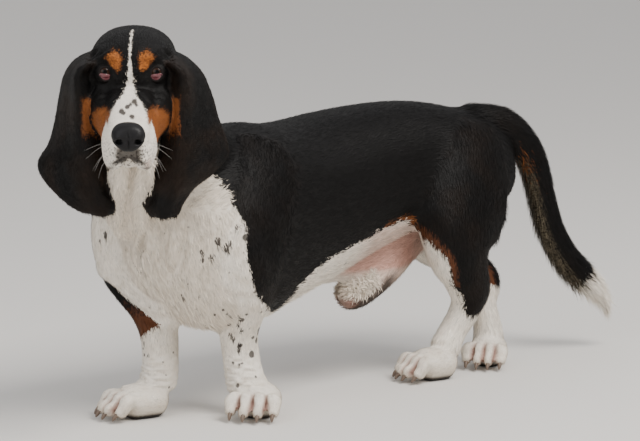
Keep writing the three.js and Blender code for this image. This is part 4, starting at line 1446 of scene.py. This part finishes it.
def outward(points, faces, middle):
    """The faces turned over if most of them face the middle."""
    corners = points[faces[:, :3]]
    flat = np.cross(corners[:, 1] - corners[:, 0], corners[:, 2] - corners[:, 0])
    facing = (flat * (corners.mean(1) - middle)).sum()
    return faces if facing > 0 else faces[:, ::-1]


def grid_faces(rows, across, closed=False):
    """Quads of a grid of vertices, joined round each row when closed."""
    at = np.arange(rows * across).reshape(rows, across)
    if closed:
        at = np.hstack([at, at[:, :1]])
    return np.stack([at[:-1, :-1], at[:-1, 1:], at[1:, 1:], at[1:, :-1]], -1).reshape(-1, 4)


def plain_material(name, colour, rough, specular=0.5, coat=0.0):
    """A material of one colour, its shader and its Principled node."""
    material = bpy.data.materials.new(name)
    material.use_nodes = True
    base = material.node_tree.nodes["Principled BSDF"]
    base.inputs["Base Color"].default_value = (*colour, 1)
    base.inputs["Roughness"].default_value = rough
    base.inputs["Specular IOR Level"].default_value = specular
    base.inputs["Coat Weight"].default_value = coat
    base.inputs["Coat Roughness"].default_value = 0.04
    return material, Shader(material.node_tree), base


CORNEA_RISE = 0.5
CORNEA_RADIUS = 6.5


def circle(angle):
    """Points of a circle of radius 1."""
    return np.stack([np.cos(angle), np.sin(angle)], -1)


def eyeball(side):
    """The ball, in rings round the gaze, with the cornea standing a little proud."""
    arc = np.linspace(0, math.pi * EYE_RADIUS, 34)[1:-1]
    angle = np.linspace(0, 2 * math.pi, 49)[:-1]
    place = arc[:, None, None] * circle(angle)[None]
    radius = EYE_RADIUS + CORNEA_RISE * np.clip(1 - (arc / CORNEA_RADIUS) ** 2, 0, 1)
    grid = rolled(side, place, np.broadcast_to(radius[:, None], place.shape[:2]))
    front = eye_centre(side) + GAZE * (EYE_RADIUS + CORNEA_RISE)
    points, faces, _ = closed_grid(grid, front, eye_centre(side) - GAZE * EYE_RADIUS)
    rays = np.concatenate([[0], np.repeat(arc, len(angle)), [arc[-1]]])
    return points, outward(points, faces, eye_centre(side)), rays


HAW_LINE_HEIGHT = 0.42


def haw(side):
    """The pink inner lid: a crescent over the lower half of the ball, leaning out to the sagging lid."""
    outline = OPENING_CENTRE + OPENING_REACH[:, None] * circle(OPENING_ANGLES)
    low = outline[outline[:, 1] < OPENING_CENTRE[1] + 1]
    low = low[np.argsort(low[:, 0])]
    rows, across = 18, 40
    nose_ward = np.linspace(low[0, 0] - 0.6, low[-1, 0] + 0.6, across)
    bottom = np.interp(nose_ward, low[:, 0], low[:, 1]) - 1.5
    top = -1.5 - 0.16 * (nose_ward - 1) - 0.02 * (nose_ward - 1) ** 2
    up = np.linspace(0, 1, rows)[:, None]
    place = np.stack([np.broadcast_to(nose_ward, (rows, across)), bottom + up * (top - bottom)], -1)
    radius = EYE_RADIUS + 0.7 + 1.1 * (1 - up) ** 1.2 - 0.5 * bell(up - HAW_LINE_HEIGHT, 0.09)
    radius = radius - 1.2 * eased(up, 0.9, 1.0)
    points = rolled(side, place, np.broadcast_to(radius, place.shape[:2])).reshape(-1, 3)
    line = np.broadcast_to(bell(up - HAW_LINE_HEIGHT, 0.1), (rows, across)).ravel()
    return points, outward(points, grid_faces(rows, across), eye_centre(side)), line


# Rings of the lids' band, in mm outside their edge
LID_RINGS = np.array([-1.5, -1.1, -0.75, -0.45, -0.15, 0.2, 0.6, 1.0, 1.5, 2.1, 2.8, 3.5, 4.2])


def lid_band(side):
    """The edge of the lids all round the opening: from inside the ball over the dark rim to the skin."""
    angle = np.linspace(0, 2 * math.pi, 97)[:-1]
    edge = np.interp(angle, OPENING_ANGLES, OPENING_REACH, period=2 * math.pi)
    reach = edge[None] + LID_RINGS[:, None]
    place = OPENING_CENTRE + reach[..., None] * circle(angle)
    out, lower = past_lid(place)
    dip = 0.9 * (1 - eased(out, -1.4, -0.4)) + 0.7 * eased(out, 2.6, 4.2)
    points = rolled(side, place, EYE_RADIUS + lid_height(out, lower) - dip).reshape(-1, 3)
    faces = grid_faces(len(LID_RINGS), len(angle), closed=True)
    return points, outward(points, faces, eye_centre(side)), out.ravel()


def eye_material():
    """The ball's colours by the arc from the gaze: pupil, flecked iris, dark rim and the white beyond it."""
    glass, shader, base = plain_material("eye", IRIS_DARK, 0.16, 0.12, 0.05)
    ray = shader.attribute("ray")
    iris = shader.mix(shader.noise(shader.place(), 900.0), IRIS_BROWN, IRIS_DARK)
    colour = shader.mix(shader.step(ray, *PUPIL_EDGE), PUPIL_BLACK, iris)
    colour = shader.mix(shader.step(ray, *IRIS_EDGE), colour, IRIS_RIM)
    colour = shader.mix(shader.step(ray, *RIM_EDGE), colour, EYE_WHITE)
    shader.feed(base.inputs["Base Color"], colour)
    return glass


def haw_material():
    """Wet red skin in two patchy shades with a dark line across it."""
    inner, shader, base = plain_material("haw", HAW_RED, 0.34, 0.5, 0.25)
    patches = shader.step(shader.noise(shader.place(), 420.0), 0.4, 0.7)
    colour = shader.mix(patches, HAW_RED, HAW_DARK)
    shader.feed(base.inputs["Base Color"], shader.mix(shader.attribute("line"), colour, HAW_LINE))
    return inner


def eye_pieces(coat):
    """Each eye's ball, its haw and its lid band, with their materials."""
    glass = eye_material()
    inner = haw_material()
    for side, name in ((1, "left"), (-1, "right")):
        points, faces, rays = eyeball(side)
        ball = mesh_object(f"eyeball_{name}", metres(from_head(points)), faces)
        give(ball, "ray", rays)
        finished(ball, "eye", glass, f"eye_{name}")
        points, faces, line = haw(side)
        crescent = mesh_object(f"haw_{name}", metres(from_head(points)), faces)
        give(crescent, "line", line)
        finished(crescent, "eye", inner)
        points, faces, out = lid_band(side)
        band = mesh_object(f"lid_{name}", metres(from_head(points)), faces)
        own = dict(white=head_white(points), tan=head_tan(points), lip=0.95 * (1 - eased(out, 0.5, 1.6)),
                   fray=4, head=1, brown=0.3, spot=-20, blaze=-20)
        for key in COAT_NAMES:
            give(band, key, np.broadcast_to(own.get(key, 0), len(points)))
        finished(band, "coat_black", coat)


# The nose: distance back from its front, and size of its outline there
NOSE_PROFILE = np.array([
    [0, 0, 0], [0.3, 0.3, 0], [1.0, 0.52, 0], [2.1, 0.7, 0], [3.9, 0.84, 0], [6.6, 0.94, 0],
    [10.5, 1.0, 0], [16, 0.98, 0], [26, 0.84, 0],
])
NOSE_FRONT = -119.5
NOSE_HEIGHT = -42.0
NOSE_HALF_WIDTH = 18.9
NOSE_CORNERS = 0.82
NOSTRIL_APART = 10.2


def nose_leather():
    """The nose: rings from its front, narrower below, with nostrils, slits, a middle groove and wings."""
    total = knots_of(NOSE_PROFILE)[-1]
    back, size, _ = rows_at(NOSE_PROFILE, np.linspace(0.2, total, 64)).T
    angle = np.linspace(0, 2 * math.pi, 121)[:-1]
    c = np.sign(np.cos(angle)) * np.abs(np.cos(angle)) ** NOSE_CORNERS
    d = np.sign(np.sin(angle)) * np.abs(np.sin(angle)) ** NOSE_CORNERS
    x = NOSE_HALF_WIDTH * c * size[:, None] * (1 - 0.32 * np.clip(-d, 0, 1) ** 1.6)
    up = np.where(d > 0, 15.2, 16.2) * d * size[:, None]
    front = eased(-back, -15, -7)[:, None]
    out = np.abs(x)
    nostril = np.exp(-(((out - NOSTRIL_APART) / 3.4) ** 2 + ((up + 3.6) / 3.0) ** 2) ** 1.3)
    slit = bell(up + 5.2 - 0.05 * (out - 11) ** 2, 1.1) * eased(out, 10, 12.5)
    groove = bell(x, 0.9) * eased(-up, -10, -4)
    wing = bell(out - 11.5, 5.5) * bell(up - 1.5, 6)
    cut = front * (6.5 * nostril + 1.3 * groove - 1.2 * wing + 2.2 * slit)
    y = NOSE_FRONT + back[:, None] + 0.16 * (up - 1) + cut
    x = x - np.sign(x) * 1.6 * slit * (1 - front)
    grid = leaned(np.stack([x, y, up + NOSE_HEIGHT], -1))
    middle = leaned(np.array([0, -105, NOSE_HEIGHT]))
    first = leaned(np.array([0, NOSE_FRONT + 0.2, NOSE_HEIGHT]))
    points, faces, _ = closed_grid(grid, first, leaned(np.array([0.0, -90, -43])))
    # Painted shade: the nostrils, the slits and the middle groove are darkened where they are cut in
    hollow = np.concatenate([[0], (nostril + 0.7 * slit * front + 0.4 * groove).ravel(), [0]])
    return points, outward(points, faces, middle), np.clip(hollow, 0, 1)


def nose():
    """The nose leather's mesh and its pebbled material."""
    points, faces, hollow = nose_leather()
    material, shader, base = plain_material("nose_leather", NOSE_GREY, 0.40, 0.16, 0.03)
    place = shader.place()
    pebble = shader.node("ShaderNodeTexVoronoi", Vector=place, Scale=760.0).outputs["Distance"]
    colour = shader.mix(shader.noise(place, 120.0), NOSE_BLACK, NOSE_GREY)
    # Painted shade darkens the nostrils, slits and groove
    colour = shader.mix(shader.attribute("hollow"), colour, NOSTRIL_SHADE)
    shader.feed(base.inputs["Base Color"], colour)
    bump = shader.node("ShaderNodeBump", {"invert": True}, Strength=0.6, Distance=0.0004, Height=pebble)
    shader.feed(base.inputs["Normal"], bump.outputs["Normal"])
    thing = mesh_object("nose_leather", metres(from_head(points)), faces)
    give(thing, "hollow", hollow)
    finished(thing, "leather_and_horn", material, "nose")


# A claw's rows from the toe's end: distance back, height, half width, reach up and reach down
CLAW = [
    [5, 12, 2.9, 2.9, 3.1],
    [-1.5, 9.5, 2.6, 2.7, 2.8],
    [-4.2, 6.4, 1.9, 2.0, 2.1],
    [-5.8, 3.6, 0.8, 0.8, 0.9],
]


def claws():
    """A short blunt claw at the end of every toe."""
    forms = []
    for size in PAWS.values():
        half = size["length"] / 2
        for toe in range(TOE_COUNT):
            _, tip, reach = toe_line(toe, half, size["width"])
            rows = [[tip, y - half * reach, *others] for y, *others in CLAW]
            forms.append(tube(rows, caps=(1, 1), step=1, sides=12, place=paw_place(**size)))
    material, _, _ = plain_material("horn", HORN, 0.45)
    points, faces = joined(forms)
    finished(mesh_object("claws", metres(points), faces), "leather_and_horn", material)


# Whiskers of one side: root, middle and end in the head's own frame
WHISKERS = [
    [(23, -88, -54), (34, -93, -56), (49, -91, -63)], [(24, -82, -58), (35, -87, -63), (48, -84, -75)],
    [(24, -90, -64), (32, -98, -72), (38, -99, -85)], [(22, -96, -68), (30, -104, -78), (34, -106, -91)],
    [(24, -72, -68), (33, -75, -78), (41, -73, -92)],
]
WHISKER_RADII = (0.17, 0.13, 0.05)


def whiskers():
    """Thin tapering hairs on both sides of the muzzle and under the chin."""
    forms = []
    for side in (1, -1):
        for path in WHISKERS:
            rows = [[side * x, y, z, r, r, r] for (x, y, z), r in zip(path, WHISKER_RADII)]
            forms.append(tube(rows, caps=(0.5, 0.5), step=2.5, sides=5, place=lambda p: from_head(leaned(p))))
    material, _, _ = plain_material("whisker", WHISKER, 0.4)
    points, faces = joined(forms)
    finished(mesh_object("whiskers", metres(points), faces), "coat_white", material)


# Tufts of hair on each kind of form: length and width in mm, tufts on a square centimetre, lift in degrees
TUFTS = {
    "trunk": (10, 1.2, 11, 9), "neck": (12, 1.2, 14, 10), "dewlap": (10, 1.1, 16, 10),
    "foreleg": (7, 0.9, 20, 9), "hindleg": (9, 1.1, 15, 9), "forepaw": (4.5, 0.7, 30, 9),
    "hindpaw": (4.5, 0.7, 30, 9), "tail": (14, 1.0, 34, 12), "sheath": (9, 1.0, 22, 14),
    "cranium": (5, 0.7, 30, 8), "muzzle": (3.2, 0.5, 55, 8), "jaw": (4.5, 0.6, 36, 9),
    "cheek": (4.8, 0.7, 32, 8), "flew": (3.2, 0.5, 55, 8), "brow": (3.8, 0.6, 40, 8), "ear": (6, 0.8, 22, 8),
}
TUFT_TURN = 9
FLUFF_TURN = 60


def tuft_sizes(skin):
    """Length, width, tufts on a square centimetre, lift in degrees and fluff at each point of the skin.

    They are longer under the tail, at its end, behind the thighs, under the belly and on the sheath."""
    total = sum(skin.share.values())
    means = [sum(skin.share[kind] * sizes[k] for kind, sizes in TUFTS.items()) / total for k in range(4)]
    length, width, number, lift = means
    x, y, z = skin.points.T
    normal = skin.normal
    tail_under = eased(normal @ TAIL_UNDER, -0.2, 0.7)
    brush = skin.share["tail"] * eased(y - z, 170, 330)
    length = length + skin.share["tail"] * (9 * tail_under) + 13 * brush
    lift = lift + skin.share["tail"] * 6 * tail_under + 5 * brush
    seat = skin.share["hindleg"] * eased(normal[:, 1], 0.3, 0.8) * eased(z, 110, 150)
    keel = skin.of("trunk", "neck") * eased(-normal[:, 2], 0.4, 0.9)
    fluff = fluff_share(skin)
    length = length + 7 * seat + 4 * keel + 3 * fluff
    wrist = skin.of("foreleg", "forepaw") * eased(z, 22, 34) * eased(-z, -86, -66)
    length = length * (1 - 0.45 * wrist)
    number = number * (1 - 0.4 * wrist)
    lift = lift + 5 * seat + 6 * keel + 14 * fluff
    return length, width + 0.5 * fluff, number + 30 * fluff + 16 * brush, lift, fluff


def bare_places(skin):
    """1 where no tuft grows: inside the lids, under the nose leather, in the mouth and under the paws."""
    local = to_head(skin.points)
    bare = np.zeros(len(local))
    for side in (1, -1):
        away = local - eye_centre(side)
        parts = gaze_parts(side, away)
        past, _ = past_lid(unrolled(parts))
        bare[(np.linalg.norm(parts, axis=1) < 22) & (parts[:, 2] > 0) & (past < 2.4)] = 1
    straight = straight_head(skin.points)
    outline = (straight[:, 0] / 19.5) ** 2 + ((straight[:, 2] - NOSE_HEIGHT) / 17.5) ** 2
    leather = (outline < 1) & (straight[:, 1] < -96)
    head = skin.of(*HEAD_KINDS) > 0.4
    bare[head & leather] = 1
    bare[head & (near_path(straight, MOUTH, 2.0) > 0.3)] = 1
    bare[(skin.points[:, 2] < 4) | (skin.gaps > 0.6)] = 1
    return bare


def tuft_roots(skin, number, seed):
    """For each tuft a quad, drawn by its area times the tufts on it, and the shares of its four corners."""
    a, b, c, d = (skin.points[skin.quads[:, k]] for k in range(4))
    area = 0.5 * np.linalg.norm(np.cross(c - a, d - b), axis=1) / 100
    wanted = area * number[skin.quads].mean(1)
    chance = seed.random(len(wanted))
    count = np.floor(wanted + chance).astype(int)
    quad = np.repeat(np.arange(len(wanted)), count)
    u, v = seed.random((2, len(quad)))
    return quad, np.stack([(1 - u) * (1 - v), u * (1 - v), u * v, (1 - u) * v], -1)


def unwrap_lines():
    """The line down the middle of each part of the body and the way that it runs, for the unwrap."""
    head_line = from_head(np.array([[0, 132, -8], [0, 60, -14], [0, 0, -26], [0, -60, -50], [0, -119, -48.0]]))
    lines = {
        "trunk": (trunk_rows()[:, :3], np.array([0, 1.0, 0])),
        "neck": (NECK[:, :3], np.array([66.0, -147, 146])),
        "head": (head_line, -HEAD_AXES[:, 1]),
        "tail": (TAIL[:, :3], np.array([0, 0.7, -0.7])),
        "sheath": (SHEATH[:, :3], np.array([0, -1.0, -0.3])),
    }
    for name in ("left", "right"):
        lines[f"foreleg_{name}"] = (FORELEG[name][:, :3], np.array([0, 0, -1.0]))
        lines[f"hindleg_{name}"] = (HINDLEG[name][:, :3], np.array([0, 0, -1.0]))
        lines[f"ear_{name}"] = (ear_middle(name).mean(1), -HEAD_AXES[:, 2])
    for name, size in PAWS.items():
        ends = paw_place(**size)([[0, size["length"] / 2, 18], [0, -size["length"] / 2, 18]])
        lines[name] = (ends, ends[1] - ends[0])
    return lines


UNWRAP_CELLS = 4
UNWRAP_MARGIN = 0.012
UNWRAP_ENDS = 40
TUFT_PATCH = 0.003
PATCH_CORNERS = np.array([[-0.5, -0.5], [0.5, -0.5], [0.5, 0.1], [-0.5, 0.1], [0, 0.5]])


def part_of_body(skin):
    """The number of the unwrap's part at each point, from the kinds of form and the side of the dog."""
    names = list(unwrap_lines())
    x, y, z = skin.points.T
    on_left = {
        "foreleg": x > -12,
        "hindleg": ~((x < spine_x(y)) | past_far_hock(x, y, z)),
        "forepaw": y - 1.2 * x > -262,
        "hindpaw": y < 192,
        "ear": to_head(skin.points)[:, 0] > 0,
    }
    kind = skin.main_kind()
    part = np.zeros(len(x), int)
    for number, name in enumerate(KINDS):
        whole = "neck" if name == "dewlap" else "head" if name in HEAD_KINDS else name
        if whole in on_left:
            sides = np.where(on_left[whole], names.index(whole + "_left"), names.index(whole + "_right"))
        else:
            sides = np.full(len(x), names.index(whole))
        part = np.where(kind == number, sides, part)
    return part


def unwrapped(points, part, normal):
    """Places of the points on the unwrap: a cell for each part, across it the angle about the part's line.

    Up it runs the distance along that line. An ear's inner face takes the second half of its cell."""
    places = np.zeros((len(points), 2))
    for number, (name, (line, way)) in enumerate(unwrap_lines().items()):
        way = unit(way)
        own = np.flatnonzero(part == number)
        if not len(own):
            continue
        run = line @ way
        s = np.clip(points[own] @ way, run.min(), run.max())
        middle = np.stack([np.interp(s, run, line[:, k]) for k in range(3)], -1)
        first = unit(np.cross(way, [0.2, 0.1, 1.0] if abs(way[2]) < 0.8 else [0, 1.0, 0]))
        away = points[own] - middle
        angle = np.arctan2(away @ np.cross(way, first), away @ first) / (2 * math.pi) + 0.5
        if name.startswith("ear"):
            outside = normal[own] @ (middle - from_head([0, 20, -60])).T.mean(1)
            angle = angle / 2 + np.where(outside > 0, 0, 0.5)
        reach = (points[own] @ way - run.min() + UNWRAP_ENDS) / (np.ptp(run) + 2 * UNWRAP_ENDS)
        cell = np.array([number % UNWRAP_CELLS, number // UNWRAP_CELLS])
        inner = UNWRAP_MARGIN + np.clip(np.stack([angle, reach], -1), 0, 1) * (1 - 2 * UNWRAP_MARGIN)
        places[own] = (cell + inner) / UNWRAP_CELLS
    return places


def tuft_shapes(root, normal, lie, length, width, lift, seed):
    """Five points for each tuft: two at its root, two in its middle and its tip.

    It rises from the skin by its lift, bends back towards it beyond the middle, and turns aside by chance."""
    turn = np.radians(seed.normal(0, TUFT_TURN, len(root)))[:, None]
    across = np.cross(normal, lie)
    ahead = lie * np.cos(turn) + across * np.sin(turn)
    across = np.cross(normal, ahead)
    rise = np.radians(lift * seed.uniform(0.5, 1.5, len(root)))[:, None]
    length = (length * seed.uniform(0.7, 1.15, len(root)))[:, None]
    half = across * (width * seed.uniform(0.8, 1.2, len(root)))[:, None] / 2
    base = root - 0.25 * normal
    middle = root + ahead * 0.5 * length * np.cos(rise) + normal * 0.5 * length * np.sin(rise)
    tip = root + ahead * length * np.cos(rise) + normal * 0.8 * length * np.sin(rise)
    return np.stack([base - half, base + half, middle + 0.8 * half, middle - 0.8 * half, tip], 1)


def tuft_piece(name, slot, skin, looks, quad, shares, sizes, part, coat, seed):
    """One mesh of tufts with the coat's attributes and its OFBake map."""
    corners = skin.quads[quad]

    def blended(values):
        """Values of the quads' corners, weighted by each root's shares of them."""
        return (values[corners] * (shares if values.ndim == 1 else shares[..., None])).sum(1)

    root = blended(skin.points)
    normal = unit(blended(skin.normal))
    lie = blended(skin.lie)
    lie = unit(lie - normal * (lie * normal).sum(1, keepdims=True))
    length, width, _, lift, fluff = (blended(values) for values in sizes)
    swirl = np.radians(seed.normal(0, FLUFF_TURN, len(root)) * np.clip(fluff, 0, 1))[:, None]
    lie = lie * np.cos(swirl) + np.cross(normal, lie) * np.sin(swirl)
    shapes = tuft_shapes(root, normal, lie, length, width, lift, seed)
    shapes[..., 2] = np.maximum(shapes[..., 2], FLOOR_GAP)
    at = np.arange(len(root))[:, None] * 5
    walls = (at + np.array([0, 1, 2, 3])).tolist()
    tips = (at + np.array([3, 2, 4])).tolist()
    mesh = bpy.data.meshes.new(name)
    mesh.from_pydata(metres(shapes.reshape(-1, 3)).tolist(), [], walls + tips)
    thing = in_scene(name, mesh)
    own = {key: blended(looks[key]) for key in COAT_NAMES}
    own["tone"] = seed.normal(0, 0.12, len(root))
    own["grizzle"] = np.clip(own["grizzle"] * seed.uniform(0.1, 1.6, len(root)), 0, 1)
    stray = seed.normal(0, 0.13, len(root)) * own["fray"]
    for key in ("white", "tan", "blaze", "spot"):
        own[key] = own[key] + stray * (0.4 if key == "spot" else 1)
    for key, values in own.items():
        give(thing, key, np.repeat(values, 5))
    places = unwrapped(root, part[corners[:, 0]], normal)
    patches = (places[:, None] + PATCH_CORNERS * TUFT_PATCH).reshape(-1, 2)
    loops = np.empty(len(mesh.loops), np.int32)
    mesh.loops.foreach_get("vertex_index", loops)
    mesh.uv_layers.new(name="OFBake").data.foreach_set("uv", patches[loops].astype(np.float32).ravel())
    finished(thing, slot, coat)


# Pieces of the coat: name, slot and kinds of form under it
COAT_PIECES = [
    ("coat_trunk", "coat_black", ("trunk",)),
    ("coat_neck", "coat_white", ("neck", "dewlap")),
    ("coat_head", "coat_black", HEAD_KINDS),
    ("coat_ears", "coat_black", ("ear",)),
    ("coat_legs", "coat_white", ("foreleg", "hindleg", "forepaw", "hindpaw")),
    ("coat_tail", "coat_black", ("tail", "sheath")),
]


def tufts(skin, looks, coat):
    """Every piece of the coat."""
    seed = np.random.default_rng(SEED)
    sizes = tuft_sizes(skin)
    number = sizes[2] * (1 - np.minimum(1, skin.web.average(bare_places(skin)) * 2))
    quad, shares = tuft_roots(skin, number, seed)
    part = part_of_body(skin)
    kind = skin.main_kind()[skin.quads[quad, 0]]
    for name, slot, kinds in COAT_PIECES:
        own = np.isin(kind, [KINDS.index(one) for one in kinds])
        tuft_piece(name, slot, skin, looks, quad[own], shares[own], sizes, part, coat, seed)


skin = Skin()
shaped(skin)
coat = coat_material(fur_grain_group())
hide = mesh_object("skin", metres(skin.points), skin.quads)
looks = {**markings(skin), **tints(skin)}
COAT_NAMES = list(looks)
for name, values in looks.items():
    give(hide, name, values)
finished(hide, "coat_black", coat, *FLESH_NODES)
tufts(skin, looks, coat)
eye_pieces(coat)
nose()
claws()
whiskers()


# Floor, light and camera
FLOOR_REACH = 30.0


def stage():
    """A plain pale floor under the paws and a pale sky, brighter above."""
    corners = np.array([[-1, -1, 0], [1, -1, 0], [1, 1, 0], [-1, 1, 0]]) * FLOOR_REACH
    floor = mesh_object("floor", corners, [[0, 1, 2, 3]])
    material = bpy.data.materials.new("floor")
    material.use_nodes = True
    base = material.node_tree.nodes["Principled BSDF"]
    base.inputs["Base Color"].default_value = (*FLOOR, 1)
    base.inputs["Roughness"].default_value = 0.9
    floor.data.materials.append(material)
    world = bpy.data.worlds.new("studio")
    world.use_nodes = True
    shader = Shader(world.node_tree)
    way = world.node_tree.nodes.new("ShaderNodeTexCoord").outputs["Generated"]
    height = shader.node("ShaderNodeSeparateXYZ", Vector=way).outputs["Z"]
    sky = shader.mix(shader.step(height, 0.02, 0.75), (0.50, 0.485, 0.465), (1.0, 1.0, 1.02))
    shader.feed(world.node_tree.nodes["Background"].inputs["Color"], sky)
    world.node_tree.nodes["Background"].inputs["Strength"].default_value = 0.8
    bpy.context.scene.world = world


def soft_light(name, place, aim, size, power, colour=(1, 1, 1)):
    """A square area light of that size and power, turned to face aim."""
    lamp = bpy.data.lights.new(name, "AREA")
    lamp.size = size
    lamp.energy = power
    lamp.color = colour
    thing = in_scene(name, lamp)
    thing.location = place
    thing.rotation_euler = (Vector(aim) - Vector(place)).to_track_quat("-Z", "Y").to_euler()


# The photo's view: a long lens, 47 degrees round from the front and 8.7 degrees down. Its focal length,
# middle row and horizon are in pixels of the photo, with the horizon above its upper edge
CAMERA_PLACE = np.array([3108.29, -2925.87, 864.0])
CAMERA_TURN = math.radians(47)
FOCAL_PIXELS = 3500
MIDDLE_ROW = 220.5
HORIZON_ROW = -314.0
CAMERA_PITCH = math.atan((MIDDLE_ROW - HORIZON_ROW) / FOCAL_PIXELS)
LENS = 196.9


def camera():
    """A camera at the photo's place and angle, with its main point at the middle of the frame."""
    lens = bpy.data.cameras.new("camera")
    lens.lens = LENS
    lens.sensor_width = 36
    lens.clip_end = 200
    thing = in_scene("camera", lens)
    ahead = Vector((-math.sin(CAMERA_TURN) * math.cos(CAMERA_PITCH),
                    math.cos(CAMERA_TURN) * math.cos(CAMERA_PITCH), -math.sin(CAMERA_PITCH)))
    thing.location = metres(CAMERA_PLACE)
    thing.rotation_euler = ahead.to_track_quat("-Z", "Y").to_euler()
    bpy.context.scene.camera = thing


stage()
soft_light("key", (1.9, 0.1, 2.6), (0, 0, 0.25), 1.6, 112, (1.0, 0.965, 0.92))
soft_light("fill", (0.6, -3.2, 1.5), (0, -0.2, 0.25), 2.2, 40)
camera()
